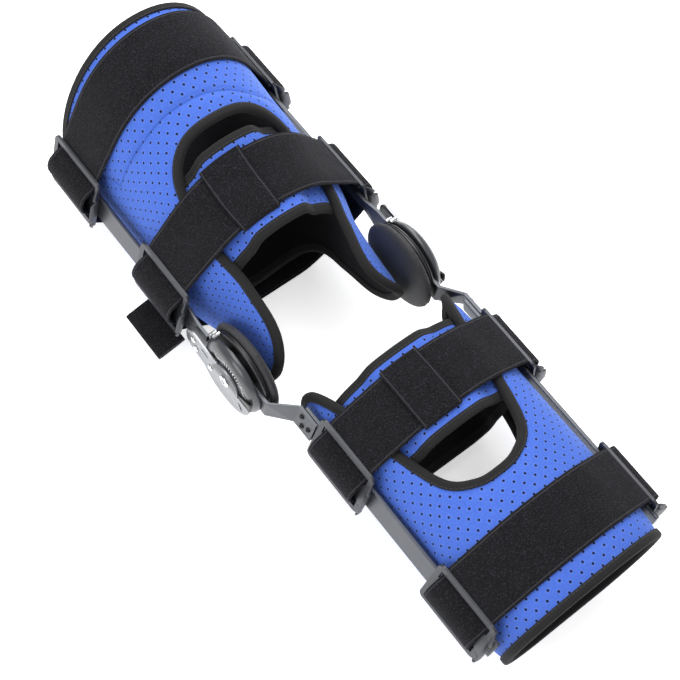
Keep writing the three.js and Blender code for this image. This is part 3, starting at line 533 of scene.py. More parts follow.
# Ribs of 0.9 mm run across the tape, and the thread shows as 3.2 mm stitches beside its free edge.
rib_wave = add(tree, "Math", {0: along, 1: 2 * math.pi / 0.9}, operation="MULTIPLY")
rib = add(tree, "Math", {0: rib_wave}, operation="SINE")
stitch_cell = add(tree, "Math", {0: along, 1: STITCH_MM}, operation="DIVIDE")
stitch_run = add(tree, "Math", {0: stitch_cell}, operation="FRACT")
drawn = add(tree, "Math", {0: stitch_run, 1: 0.72}, operation="LESS_THAN")
from_row = add(tree, "Math", {0: across, 1: 1.6}, operation="SUBTRACT")
row_gap = add(tree, "Math", {0: from_row}, operation="ABSOLUTE")
row = add(tree, "MapRange", {0: row_gap, 1: 0.25, 2: 0.5, 3: 1.0, 4: 0.0})
thread = add(tree, "Math", {0: row, 1: drawn}, operation="MULTIPLY")
place = add(tree, "TexCoord", out="Object")
nap = add(tree, "TexNoise", {"Vector": place, "Scale": 1200.0, "Detail": 3.0})
knit = add(tree, "Mix", {0: nap, 6: "#111112", 7: "#29292a"}, **COLOURS)
sewn = add(tree, "Mix", {0: thread, 6: knit, 7: "#343436"}, **COLOURS)
give(tree, shader.inputs["Base Color"], sewn)
ribbed = add(tree, "Bump", {"Height": rib, "Strength": 0.12, "Distance": 0.0003})
drawn_in = add(tree, "Bump", {"Height": row, "Strength": -0.5, "Distance": 0.0006, "Normal": ribbed})
fuzzy = add(tree, "Bump", {"Height": nap, "Strength": 0.4, "Distance": 0.0004, "Normal": drawn_in})
give(tree, shader.inputs["Normal"], fuzzy)


def tape_mesh(name, leg, edge, length):
    count, ring = len(edge), len(TAPE_PROFILE)
    run = [0.0]
    for a, b in zip(TAPE_PROFILE, TAPE_PROFILE[1:] + TAPE_PROFILE[:1]):
        run.append(run[-1] + math.dist(a, b))

    def point(i, k):
        turn, y, per_turn, per_y = edge[i]
        inset, off = TAPE_PROFILE[k]
        ripple = 0.12 * noise.noise(Vector((i * 0.9, k * 0.6, leg["rim"])))
        return placed(*off_section(leg, y + per_y * inset, turn + per_turn * inset, off + ripple))

    def flat(i, k, face):
        return i / count * length * 0.001, run[k] * 0.001

    return swept(name, count, ring, point, flat)


for leg in (THIGH, CALF):
    body = leg["body"]
    for part, (edge, length) in (("knee", knee_edge(leg, 320)), ("rim", rim_edge(leg, 220))):
        mesh = tape_mesh(f"{body}_{part}_tape", leg, edge, length)
        fitted(mesh, body, "black_binding_tape", [binding_knit], f"{body}_{part}_binding")

# Front pads and the pad behind the calf: 5 mm foam slabs under the two straps nearest the knee.
# The front ones are blue punched knit, the back one black, all with taped long edges. Their
# ends are tucked inside the wraps and stuck to the lining.
PAD_WALL = 5
TAPE_WIDTH = 7
PAD_TUCKED = -6.5
PAD_RAISED = 1.4
STRAP_AT = {"upper_thigh": 212, "lower_thigh": 92, "upper_calf": -106, "lower_calf": -242}
PAD_PROFILE = [
    (-1.0, 1.6), (-0.985, 0.6), (-0.955, 0.0), (-0.88, -0.25), (-0.835, -0.15), (-0.82, 0.15),
    (-0.6, -0.2), (-0.3, -0.45), (0.0, -0.5), (0.3, -0.45), (0.6, -0.2), (0.82, 0.15),
    (0.835, -0.15), (0.88, -0.25), (0.955, 0.0), (0.985, 0.6), (1.0, 1.6), (1.0, 3.4),
    (0.96, 4.8), (0.8, 5.1), (0.4, 4.9), (0.0, 4.9), (-0.4, 4.9), (-0.8, 5.1), (-0.96, 4.8),
    (-1.0, 3.4),
]
# Each row has a pad's name, leg and strap, its turns, the shares over which it climbs out from
# under the wrap, half its width and whether its face is blue.
PADS = [
    ("thigh_front_pad", THIGH, "lower_thigh", (36, 140), (0.22, 0.36), 39, True),
    ("calf_front_pad", CALF, "upper_calf", (20, 146), (0.25, 0.38), 39, True),
    ("calf_back_pad", CALF, "upper_calf", (-168, -26), (0.17, 0.3), 33, False),
]


def pad_mesh(name, leg, centre, half, turns, rise):
    stations, ring = 72, len(PAD_PROFILE)

    def at(i, k):
        share = i / stations
        climb = smooth_share(min(share, 1 - share), *rise)
        across, depth = PAD_PROFILE[k % ring]
        y = centre + half * across
        turn = turns[0] + (turns[1] - turns[0]) * share
        quilt = 0.3 * noise.noise(Vector((turn * 0.05, y * 0.04, centre)))
        end = smooth_share(min(share, 1 - share), 0, 0.03)
        depth = PAD_WALL / 2 + (depth - PAD_WALL / 2) * (0.35 + 0.65 * end)
        return turn, y, PAD_TUCKED + (PAD_RAISED - PAD_TUCKED) * climb - depth + quilt

    def point(i, k):
        turn, y, offset = at(i, k)
        return placed(*off_section(leg, y, turn, offset))

    def flat(i, k, face):
        turn, y, _ = at(i, k)
        along = round_leg(leg, turn) * 0.001
        if face < 5 or 10 < face < 16:
            return along, abs(abs(y - centre) - half + TAPE_WIDTH) * 0.001
        return along, y * 0.001

    def slot(i, k):
        if k < 5 or 10 < k < 20 or k > 22:
            return 1
        return 0 if k < 11 else 2

    return swept(name, stations, ring, point, flat, closed=False, slot=slot)


for name, leg, strap, turns, rise, half, blue in PADS:
    mesh = pad_mesh(name + "_foam", leg, STRAP_AT[strap], half, turns, rise)
    slot = "perforated_blue_foam" if blue else "black_padding"
    finishes = [blue_knit if blue else black_lining, binding_knit, black_lining]
    pad = fitted(mesh, leg["body"], slot, finishes, name)

# Straps: 50 mm brushed loop tape with woven edges. Each runs over the wrap, dives under a
# guide's rail, bows over the guide and dives again, and so round the leg.
TAPED_OFF = 3.4
LOOSE_OFF = 2.5
BAR_TWIST = math.radians(12)
UNDER_RAIL = 0.1
OVER_GUIDE = 5.7
RAIL_EDGE = 28
SLOT_FOOT = 19.3
SLOT_TOP = 11.84
STRAP_BOW = 7.2
LOOP_SAMPLES = 900
STRAP_STATIONS = 230
BOW = [(1, 0.25), (0.6, 0.8), (0, 1), (-0.6, 0.8), (-1, 0.25)]
LIES_AT = 0.00005
TOUCH_TURNS = {
    "front_left": (25, 80),
    "front_right": (155, 100),
    "back_right": (200, 260),
    "back_left": (340, 280),
}
STRAP_PROFILE = [
    (-25.0, 0.0), (-24.7, 0.75), (-23.8, 1.1), (-22.9, 1.0), (-22.2, 1.15), (-16.0, 1.1),
    (-8.0, 1.1), (0.0, 1.1), (8.0, 1.1), (16.0, 1.1), (22.2, 1.15), (22.9, 1.0), (23.8, 1.1),
    (24.7, 0.75), (25.0, 0.0), (24.2, -1.0), (12.0, -1.1), (0.0, -1.1), (-12.0, -1.1),
    (-24.2, -1.0),
]


def on_bar(leg, side, y, across, out):
    """A point on a side bar: across its face to the front, and out from its middle."""
    x = leg["shift"] + side * (leg["bar_x"] - across * math.sin(BAR_TWIST) + out * math.cos(BAR_TWIST))
    return Vector((x, y, across * math.cos(BAR_TWIST) + out * math.sin(BAR_TWIST)))


def touch_turn(leg, y, off, start, stretch):
    """The turn where a strap pulled straight from start first touches the wrap."""
    turns = TOUCH_TURNS[stretch]
    best, lean = turns[1], -9.0
    for n in range(61):
        turn = turns[0] + (turns[1] - turns[0]) * n / 60
        point = off_section(leg, y, turn, off)
        if abs(point.z) < abs(start.z):
            continue
        run = Vector((point.x - start.x, point.z - start.z))
        out = Vector((start.x - leg["shift"], start.z - leg["widest"])).normalized()
        if run.dot(out) / run.length > lean:
            best, lean = turn, run.dot(out) / run.length
    return best


def strap_loop(leg, y, off, count):
    """Even points round one strap at y, with the direction out of its face at each."""
    loop = []

    def cross(side, sign):
        loop.append(on_bar(leg, side, y, sign * RAIL_EDGE, UNDER_RAIL))
        loop.append(on_bar(leg, side, y, sign * SLOT_FOOT, UNDER_RAIL))
        for across, lift in BOW:
            loop.append(on_bar(leg, side, y, sign * SLOT_TOP * across, OVER_GUIDE + STRAP_BOW * lift))
        loop.append(on_bar(leg, side, y, -sign * SLOT_FOOT, UNDER_RAIL))
        loop.append(on_bar(leg, side, y, -sign * RAIL_EDGE, UNDER_RAIL))

    def arc(first, last, steps):
        for n in range(steps + 1):
            loop.append(off_section(leg, y, first + (last - first) * n / steps, off))

    cross(-1, -1)
    front = on_bar(leg, 1, y, RAIL_EDGE, UNDER_RAIL)
    first = touch_turn(leg, y, off, loop[-1], "front_left")
    arc(first, touch_turn(leg, y, off, front, "front_right"), 16)
    cross(1, 1)
    rear = touch_turn(leg, y, off, loop[-1], "back_right")
    arc(rear, touch_turn(leg, y, off, loop[0], "back_left"), 9)
    closed = loop + loop[:1]
    points, length = evenly(through(closed, LOOP_SAMPLES), count, lambda a, b: (b - a).length)
    faced = []
    for i, point in enumerate(points):
        run = points[(i + 1) % count] - points[i - 1]
        faced.append((point, Vector((-run.z, 0, run.x)).normalized()))
    return faced, length


def strap_mesh(name, leg, centre, off):
    """One strap round the leg, pressed flat where it lies on the table."""
    count, ring = STRAP_STATIONS, len(STRAP_PROFILE)
    loops = {v: strap_loop(leg, centre + v, off, count) for v, _ in STRAP_PROFILE}
    length = loops[0.0][1]

    def point(i, k):
        v, thick = STRAP_PROFILE[k]
        middle, out = loops[v][0][i]
        nap = 0.12 * noise.noise(Vector((i * 0.35, v * 0.3, centre)))
        x, y, z = placed(*(middle + out * (thick + nap)))
        return Vector((x, y, max(z, LIES_AT)))

    def flat(i, k, face):
        return i / count * length * 0.001, (STRAP_PROFILE[k % ring][0] + 25) * 0.001

    return swept(name, count, ring, point, flat)


# Brushed loop pile is matt and nearly black, with pale tips at random. The woven edge shows as
# one fine lighter line on each side. On the sleeves the same line is a painted highlight along
# their cut sides. Real loops are 0.3 mm, and are drawn at about 1.1 mm.
loop_pile, tree, shader = finish(
    "brushed_loop_pile_tape", Roughness=0.97, Sheen_Weight=0.16, Sheen_Roughness=0.5,
    Sheen_Tint="#8c8c94", Specular_IOR_Level=0.12,
)
lay = add(tree, "UVMap", uv_map="flat")
from_edge = add(tree, "SeparateXYZ", {0: lay}, out="Y")
from_middle = add(tree, "Math", {0: from_edge, 1: 0.025}, operation="SUBTRACT")
across = add(tree, "Math", {0: from_middle}, operation="ABSOLUTE")
to_line = add(tree, "Math", {0: across, 1: 0.0229}, operation="SUBTRACT")
line_gap = add(tree, "Math", {0: to_line}, operation="ABSOLUTE")
# The lighter edge line: the woven edge on the straps, a painted highlight on the sleeves.
woven_edge_and_highlight = add(tree, "MapRange", {0: line_gap, 1: 0.0002, 2: 0.0006, 3: 1.0, 4: 0.0})
place = add(tree, "TexCoord", out="Object")
loops = add(tree, "TexNoise", {"Vector": place, "Scale": 900.0, "Detail": 3.0})
tips = add(tree, "MapRange", {0: loops, 1: 0.5, 2: 0.72, 3: 0.0, 4: 1.0})
patch = add(tree, "TexNoise", {"Vector": place, "Scale": 70.0, "Detail": 3.0})
ground = add(tree, "Mix", {0: patch, 6: "#0f0f11", 7: "#1b1b1e"}, **COLOURS)
tipped = add(tree, "Mix", {0: tips, 6: ground, 7: "#2f2f34"}, **COLOURS)
faint = add(tree, "Math", {0: woven_edge_and_highlight, 1: 0.55}, operation="MULTIPLY")
edged = add(tree, "Mix", {0: faint, 6: tipped, 7: "#46464a"}, **COLOURS)
give(tree, shader.inputs["Base Color"], edged)
pile = add(tree, "Bump", {"Height": loops, "Strength": 0.9, "Distance": 0.0009})
give(tree, shader.inputs["Normal"], pile)

for name, centre in STRAP_AT.items():
    leg = THIGH if centre > 0 else CALF
    off = TAPED_OFF if name in ("lower_thigh", "upper_calf") else LOOSE_OFF
    mesh = strap_mesh(name + "_strap_tape", leg, centre, off)
    fitted(mesh, leg["body"], "black_loop_fabric", [loop_pile], name + "_strap")

# Sleeves: a band of the same loop tape sewn across each front pad, that holds its strap. Its
# two cut sides are turned in and show as a fine lighter line, a painted highlight along each.
SLEEVE_TURNS = (67, 91)
# Where the tape's lighter edge line falls on a sleeve: a painted highlight along each cut side.
SIDE_HIGHLIGHT_LINES = (0.0006, 0.0494)
SLEEVE_PROFILE = [
    (-27.1, 2.0), (-27.1, 5.2), (-26.5, 6.3), (-25.0, 6.6), (-12.0, 6.8), (0.0, 6.85),
    (12.0, 6.8), (25.0, 6.6), (26.5, 6.3), (27.1, 5.2), (27.1, 2.0), (25.6, 2.0), (25.6, 5.1),
    (0.0, 5.2), (-25.6, 5.1), (-25.6, 2.0),
]


def sleeve_mesh(name, leg, centre):
    stations, ring = 26, len(SLEEVE_PROFILE)
    start, end = SLEEVE_TURNS
    width = round_leg(leg, end) - round_leg(leg, start)

    def point(i, k):
        across, off = SLEEVE_PROFILE[k]
        share = i / stations
        hem = 0.35 * math.exp(-((min(share, 1 - share) * width / 1.6) ** 2))
        turn = start + (end - start) * share
        return placed(*off_section(leg, centre + across, turn, off + (hem if 0 < k < 10 else 0)))

    def flat(i, k, face):
        run = i / stations * width * 0.001
        side = run + SIDE_HIGHLIGHT_LINES[0] if i <= stations // 2 else SIDE_HIGHLIGHT_LINES[1] - (width * 0.001 - run)
        return SLEEVE_PROFILE[k % ring][0] * 0.001, side

    return swept(name, stations, ring, point, flat, closed=False)


for leg, strap in ((THIGH, "lower_thigh"), (CALF, "upper_calf")):
    body = leg["body"]
    mesh = sleeve_mesh(body + "_sleeve_band", leg, STRAP_AT[strap])
    fitted(mesh, body, "black_loop_fabric", [loop_pile], body + "_pad_sleeve")

# The lower thigh strap's loose end: the tape folded back on itself, pressed flat and left
# standing off behind the left guide.
TAIL_HALF_WIDTH = 23
TAIL_MIDDLE = 82
TAIL_LENGTH = 26
TAIL_ROWS = 24
TAIL_LEAN = math.radians(122)
TAIL_PROFILE = [
    (0.0, 0.1), (12.0, 0.25), (23.5, 0.1), (25.2, -0.4), (26.0, -1.5), (25.2, -2.6), (23.5, -3.1),
    (12.0, -3.2), (0.0, -3.0), (0.0, -1.75), (12.0, -1.8), (23.4, -1.7), (23.4, -1.35),
    (12.0, -1.25), (0.0, -1.3),
]

rail = on_bar(THIGH, -1, STRAP_AT["lower_thigh"], -RAIL_EDGE, UNDER_RAIL)
touch = touch_turn(THIGH, STRAP_AT["lower_thigh"], TAPED_OFF, rail, "back_left")
hang = off_section(THIGH, STRAP_AT["lower_thigh"], touch, TAPED_OFF)
run = (hang - rail).normalized()
out = Vector((run.z, 0, -run.x))
tail_root = rail + run * 3 + out * 1.7
turned_down = Matrix.Rotation(TAIL_LEAN, 3, "Y")
run, out = turned_down @ run, turned_down @ out


def tail_point(i, k):
    along, thick = TAIL_PROFILE[k]
    y = TAIL_MIDDLE - TAIL_HALF_WIDTH + 2 * TAIL_HALF_WIDTH * i / TAIL_ROWS
    bend = 0.8 * math.sin(math.pi * i / TAIL_ROWS) * along / TAIL_LENGTH
    spot = tail_root + run * along + out * (thick + bend)
    return placed(spot.x, y, spot.z)


def tail_flat(i, k, face):
    return TAIL_PROFILE[k % len(TAIL_PROFILE)][0] * 0.001, (2 + 46 * i / TAIL_ROWS) * 0.001


tail_mesh = swept(
    "lower_thigh_tail_tape", TAIL_ROWS, len(TAIL_PROFILE), tail_point, tail_flat, closed=False
)
fitted(tail_mesh, "thigh", "black_loop_fabric", [loop_pile], "lower_thigh_strap_tail")

# Side bars and hinge arms: 22 by 3 mm aluminium flat, sawn and bent, with broken edges, then
# satin anodised. Fine grain from the rolling runs along each bar.
SIDES = {"left": -1, "right": 1}


def satin_metal(name, dark, light, grain_mm, roughness):
    material, tree, shader = finish(name, Metallic=0.9, Roughness=roughness)
    place = add(tree, "TexCoord", out="Object")
    stretch = add(tree, "VectorMath", {0: place, 1: (1.0, 0.03, 1.0)}, operation="MULTIPLY")
    grain = add(tree, "TexNoise", {"Vector": stretch, "Scale": 1000 / grain_mm, "Detail": 3.0})
    cast = add(tree, "TexNoise", {"Vector": place, "Scale": 18.0, "Detail": 2.0})
    mixed = add(tree, "Math", {0: grain, 1: cast}, operation="ADD")
    halved = add(tree, "Math", {0: mixed, 1: 0.5}, operation="MULTIPLY")
    shade = add(tree, "Mix", {0: halved, 6: dark, 7: light}, **COLOURS)
    give(tree, shader.inputs["Base Color"], shade)
    rough = add(tree, "MapRange", {0: grain, 3: roughness - 0.06, 4: roughness + 0.08})
    give(tree, shader.inputs["Roughness"], rough)
    relief = add(tree, "Bump", {"Height": grain, "Strength": 0.12, "Distance": 0.0002})
    give(tree, shader.inputs["Normal"], relief)
    return material


def dressed(node, material, edge_mm):
    """Gives a CAD node its finish, and breaks its sharp edges."""
    piece = frame["nodes"][node]
    for place in piece.material_slots:
        place.material = material
    weld = piece.modifiers.new("weld", "WELD")
    weld.merge_threshold = 0.00001
    broken = piece.modifiers.new("broken_edges", "BEVEL")
    broken.width = edge_mm * 0.001
    broken.segments = 2
    broken.limit_method = "ANGLE"
    broken.angle_limit = math.radians(35)


satin_aluminium = satin_metal("satin_anodised_aluminium_flat", "#4f5155", "#66686c", 0.7, 0.4)
for side in SIDES:
    dressed(f"thigh_bar_{side}", satin_aluminium, 0.5)
    dressed(f"calf_bar_{side}", satin_aluminium, 0.5)
    dressed(f"hinge_arm_{side}", satin_aluminium, 0.4)

# Strap guides: pressed frames of dark anodised aluminium with two slots, riveted on the bar's
# outer face. At its lower end each has a curled, notched cheek that keeps the strap in place.
CHEEK_PROFILE = [
    (-27.0, 3.6), (-30.6, 3.8), (-33.2, 4.8), (-34.9, 6.9), (-35.5, 9.4), (-35.0, 12.0),
    (-34.2, 12.5), (-33.6, 12.0), (-34.0, 9.5), (-33.5, 7.6), (-32.2, 6.1), (-30.2, 5.2),
    (-27.0, 5.0),
]
CHEEK_HALF = 25


def cheek_mesh(name, leg, side, centre):
    stations = 32

    def point(i, k):
        along, out = CHEEK_PROFILE[k]
        across = CHEEK_HALF * (2 * i / stations - 1)
        bow = 1 - 0.9 * abs(across / CHEEK_HALF) ** 3
        notch = 0.5 * math.exp(-(((abs(across) - 13) / 1.8) ** 2))
        rise = max(0.0, out - 4.2) * bow * (1 - notch)
        reach = -27 + (along + 27) * (0.45 + 0.55 * bow)
        return placed(*on_bar(leg, side, centre + reach, across, min(out, 4.2) + rise))

    def flat(i, k, face):
        return i * 0.001, k * 0.001

    return swept(name, stations, len(CHEEK_PROFILE), point, flat, closed=False)


dark_aluminium = satin_metal("dark_satin_anodised_aluminium", "#3f4044", "#5b5c60", 0.9, 0.42)
for name, centre in STRAP_AT.items():
    leg = THIGH if centre > 0 else CALF
    for side, sign in SIDES.items():
        dressed(f"{name}_guide_{side}", dark_aluminium, 0.7)
        cheek = cheek_mesh(f"{name}_cheek_{side}", leg, sign, centre)
        fitted(cheek, leg["body"], "dark_satin_aluminium", [dark_aluminium])

# Condyle pads: thick discs of skinned foam between each hinge and the knee, stuck to a plastic
# backing disc. Air pressure in a short cloth run gives them their soft, filled face.
PAD_FACE = 78.1
AIR_FRAMES = 20

skinned_foam, tree, shader, _ = mottled(
    "skinned_charcoal_eva_foam", 60.0, 2.0, "#232326", "#37373b", Roughness=0.62,
    Specular_IOR_Level=0.35, Sheen_Weight=0.08,
)
place = add(tree, "TexCoord", out="Object")
cells = add(tree, "TexNoise", {"Vector": place, "Scale": 900.0, "Detail": 2.0})
skin = add(tree, "Bump", {"Height": cells, "Strength": 0.18, "Distance": 0.0003})
give(tree, shader.inputs["Normal"], skin)


def lathe(name, profile, seat, side, y=0.0, z=0.0, segments=96, frame_at=None):
    """A body turned about the knee's axis, or one beside it. Rows are radius and distance out
    from the seat."""

    def point(i, k):
        radius, out = profile[k][0], seat + profile[k][1]
        angle = 2 * math.pi * i / segments
        u, v = radius * math.cos(angle), radius * math.sin(angle)
        if frame_at:
            return placed(*frame_at(u, v, out))
        return placed(side * out, y + u, z + v)

    def flat(i, k, face):
        radius = profile[k % len(profile)][0] * 0.001
        angle = 2 * math.pi * i / segments
        return radius * math.cos(angle), radius * math.sin(angle)

    return swept(name, segments, len(profile), point, flat)


CONDYLE_PROFILE = [
    (0.0, 0.0), (37.4, 0.0), (38.8, -1.4), (38.9, -3.4), (38.0, -5.2), (35.6, -6.6), (31.0, -7.8),
    (24.0, -8.6), (12.0, -8.9), (0.0, -9.0),
]


def swelled(piece, cap, voxel):
    """Fills a padded piece with air, moves no point further than cap, and leaves the result in
    its mesh with no cloth on it."""
    scene = bpy.context.scene
    scene.frame_set(1)
    remesh = piece.modifiers.new("even_faces", "REMESH")
    remesh.mode = "VOXEL"
    remesh.voxel_size = voxel
    graph = bpy.context.evaluated_depsgraph_get()
    even = bpy.data.meshes.new_from_object(piece.evaluated_get(graph))
    piece.modifiers.clear()
    piece.data = even
    start = [v.co.copy() for v in even.vertices]
    cloth = piece.modifiers.new("air", "CLOTH")
    cloth.settings.use_pressure = True
    cloth.settings.uniform_pressure_force = 4
    cloth.settings.effector_weights.gravity = 0
    cloth.point_cache.frame_start = 1
    cloth.point_cache.frame_end = AIR_FRAMES
    for frame_number in range(1, AIR_FRAMES + 1):
        scene.frame_set(frame_number)
    graph = bpy.context.evaluated_depsgraph_get()
    filled = bpy.data.meshes.new_from_object(piece.evaluated_get(graph))
    piece.modifiers.clear()
    scene.frame_set(1)
    for vertex, before in zip(filled.vertices, start):
        move = vertex.co - before
        if move.length > cap:
            move *= cap / move.length
        vertex.co = before + move
    piece.data = filled
    filled.shade_smooth()


for side, sign in SIDES.items():
    mesh = lathe(f"condyle_foam_{side}", CONDYLE_PROFILE, PAD_FACE, sign, segments=72)
    pad = fitted(mesh, "thigh", "black_padding", [skinned_foam], f"condyle_pad_{side}")
    swelled(pad, cap=0.0009, voxel=0.0025)
    pad.data.materials.clear()
    pad.data.materials.append(skinned_foam)
    for vertex in pad.data.vertices:
        out = (vertex.co.x - KNEE.x) * 1000 * sign
        if out > PAD_FACE:
            vertex.co.x = KNEE.x + sign * PAD_FACE * 0.001
    soft = pad.modifiers.new("smooth_skin", "SUBSURF")
    soft.levels = 1
    soft.render_levels = 1

# The backing disc and the dial are moulded: the disc in black nylon with two turned steps, the
# dial in glossy charcoal ABS, a ring that rises to a soft crest round the hub.
BAR_INNER = 86.0
DISC_OUTER = 82.4
DISC_INNER = 78.4
DISC_PROFILE = [
    (0.0, DISC_INNER), (34.6, DISC_INNER), (35.0, DISC_INNER + 0.4), (35.0, DISC_INNER + 1.5),
    (34.4, DISC_INNER + 1.8), (34.4, DISC_INNER + 2.3), (35.0, DISC_INNER + 2.6),
    (35.0, DISC_OUTER - 0.8), (34.4, DISC_OUTER - 0.1), (33.4, DISC_OUTER), (0.0, DISC_OUTER),
]
DIAL_PROFILE = [
    (0.0, 0.0), (32.4, 0.0), (33.0, 0.6), (33.0, 2.0), (32.7, 3.4), (31.9, 4.9), (30.6, 6.2),
    (28.8, 7.3), (27.2, 7.85), (25.6, 8.0), (24.8, 7.9), (24.4, 7.6), (20.6, 7.3), (17.4, 7.1),
    (16.8, 6.6), (16.2, 6.8), (15.8, 7.6), (15.0, 8.0), (0.0, 8.0),
]


def moulded(name, dark, light, roughness, coat):
    gloss = {"Roughness": roughness, "IOR": 1.52, "Coat_Weight": coat, "Coat_Roughness": 0.12}
    material, tree, shader, cast = mottled(name, 55.0, 3.0, dark, light, **gloss)
    place = add(tree, "TexCoord", out="Object")
    spark = add(tree, "TexNoise", {"Vector": place, "Scale": 1500.0, "Detail": 2.0})
    rough = add(tree, "MapRange", {0: cast, 3: roughness - 0.04, 4: roughness + 0.08})
    give(tree, shader.inputs["Roughness"], rough)
    relief = add(tree, "Bump", {"Height": spark, "Strength": 0.06, "Distance": 0.0002})
    give(tree, shader.inputs["Normal"], relief)
    return material


black_nylon = moulded("moulded_black_nylon", "#101012", "#1c1c1f", 0.38, 0.15)
charcoal_abs = moulded("glossy_moulded_charcoal_abs", "#2c2e31", "#3d3f43", 0.3, 0.35)

for side, sign in SIDES.items():
    disc = lathe(f"backing_disc_{side}", DISC_PROFILE, 0.0, sign)
    fitted(disc, "thigh", "black_plastic", [black_nylon], f"hinge_back_disc_{side}")
    dial = lathe(f"dial_ring_{side}", DIAL_PROFILE, BAR_INNER, sign)
    fitted(dial, "thigh", "charcoal_plastic", [charcoal_abs], f"hinge_dial_{side}")

# The dial's scale: pad-printed white ink strokes on the ring, one for each 7.5 degrees of bend
# and a longer one for each 30, from the front of the knee down to the pointer.
SCALE_START = 48
SCALE_STEP = 7.5
SCALE_STROKES = 17
STROKE_FOOT = 18.2
white_ink = mottled("pad_printed_white_ink", 700.0, 2.0, "#cfd0d2", "#f4f4f4", Roughness=0.5)[0]


def dial_height(radius):
    """How far out the ring's face is at a radius."""
    rows = sorted(row for row in DIAL_PROFILE if 16.6 <= row[0] <= 33.0 and row[1] > 2.5)
    for (r0, h0), (r1, h1) in zip(rows, rows[1:]):
        if r0 <= radius <= r1:
            return BAR_INNER + h0 + (h1 - h0) * (radius - r0) / (r1 - r0)
    return BAR_INNER + rows[-1][1]


for side, sign in SIDES.items():
    places, faces = [], []
    for n in range(SCALE_STROKES):
        angle = math.radians(SCALE_START + SCALE_STEP * n)
        long = n % 4 == 0
        inner, outer = STROKE_FOOT, 24.2 if long else 22.6
        half = 0.6 if long else 0.42
        u = Vector((math.cos(angle), math.sin(angle)))
        v = Vector((-u.y, u.x))
        first = len(places)
        for lift in (-0.05, 0.1):
            for radius in (inner, (inner + outer) / 2, outer):
                for edge in (-half, half):
                    spot = u * radius + v * edge
                    places.append(placed(sign * (dial_height(radius) + lift), spot.x, spot.y))
        for a in (0, 2):
            faces += [
                [first + 6 + a, first + 7 + a, first + 9 + a, first + 8 + a],
                [first + a, first + 2 + a, first + 3 + a, first + 1 + a],
                [first + a, first + 6 + a, first + 8 + a, first + 2 + a],
                [first + 1 + a, first + 3 + a, first + 9 + a, first + 7 + a],
            ]
        faces.append([first, first + 1, first + 7, first + 6])
        faces.append([first + 4, first + 10, first + 11, first + 5])
    strokes = bpy.data.meshes.new(f"dial_scale_{side}")
    strokes.from_pydata(places, [], faces)
    fitted(strokes, "thigh", "charcoal_plastic", [white_ink])

# Hinge covers: a pale satin aluminium pressing with a long tail riveted to the thigh bar, a
# round hub with turned grooves and a sector over the back of the dial. Two slots are punched
# through it. A black nylon wedge beside the hub points at the scale.
HINGE_RADIUS = 33
COVER_INNER = 94.3
COVER_REACH = 50
COVER_HALF = 12.5
COVER_CORNER = 9
HUB_RADIUS = 16
SECTOR_RADIUS = 31
COVER_SLOTS = [(26, 4, 20), (-20, -13, 62)]


def arc_points(centre, radius, first, last, count):
    """Points on an arc in (toward the thigh, toward the front), in degrees."""
    points = []
    for n in range(count + 1):
        angle = math.radians(first + (last - first) * n / count)
        points.append((centre[0] + radius * math.cos(angle), centre[1] + radius * math.sin(angle)))
    return points


def slot_points(along, across, lean):
    tip = math.radians(lean)
    near = (along - 3 * math.cos(tip), across - 3 * math.sin(tip))
    far = (along + 3 * math.cos(tip), across + 3 * math.sin(tip))
    half = arc_points(far, 1.5, lean - 90, lean + 90, 8)
    return half + arc_points(near, 1.5, lean + 90, lean + 270, 8)


def plate_mesh(name, outlines, side, inner, thickness, break_mm):
    """A flat pressing from its outline and holes, with broken edges."""
    curve = bpy.data.curves.new(name, "CURVE")
    curve.dimensions = "2D"
    curve.fill_mode = "BOTH"
    curve.extrude = thickness / 2 - break_mm
    curve.bevel_depth = break_mm
    curve.bevel_resolution = 1
    curve.offset = -break_mm
    for outline in outlines:
        spline = curve.splines.new("POLY")
        spline.points.add(len(outline) - 1)
        for place, (along, across) in zip(spline.points, outline):
            place.co = (along, across, 0, 1)
        spline.use_cyclic_u = True
    pattern = bpy.data.objects.new(name, curve)
    bpy.context.scene.collection.objects.link(pattern)
    graph = bpy.context.evaluated_depsgraph_get()
    mesh = bpy.data.meshes.new_from_object(pattern.evaluated_get(graph))
    bpy.data.objects.remove(pattern)
    for layer in list(mesh.uv_layers):
        mesh.uv_layers.remove(layer)
    lays = mesh.uv_layers.new(name="flat")
    for loop in mesh.loops:
        spot = mesh.vertices[loop.vertex_index].co
        lays.data[loop.index].uv = (spot.x * 0.001, spot.y * 0.001)
    middle = inner + thickness / 2
    for vertex in mesh.vertices:
        along, across, out = vertex.co
        vertex.co = placed(side * (middle + out), along, across)
    mesh.name = name
    close_up(mesh, 30)
    return mesh


hub_turn = math.degrees(math.asin((COVER_HALF - 1) / HUB_RADIUS))
COVER_OUTLINE = (
    [(HINGE_RADIUS - 2, COVER_HALF - 1), (HINGE_RADIUS + 2, COVER_HALF)]
    + arc_points((COVER_REACH - COVER_CORNER, COVER_HALF - COVER_CORNER), COVER_CORNER, 90, 0, 12)
    + arc_points((COVER_REACH - COVER_CORNER, COVER_CORNER - COVER_HALF), COVER_CORNER, 0, -90, 12)
    + arc_points((0, 0), SECTOR_RADIUS, -34, -176, 48)
    + arc_points((0, 0), HUB_RADIUS, -172, hub_turn - 360, 48)
)

pale_aluminium, tree, shader = finish("pale_satin_aluminium_pressing", Metallic=0.9, Roughness=0.34)
lay = add(tree, "UVMap", uv_map="flat")
radius = add(tree, "VectorMath", {0: lay}, operation="LENGTH", out="Value")
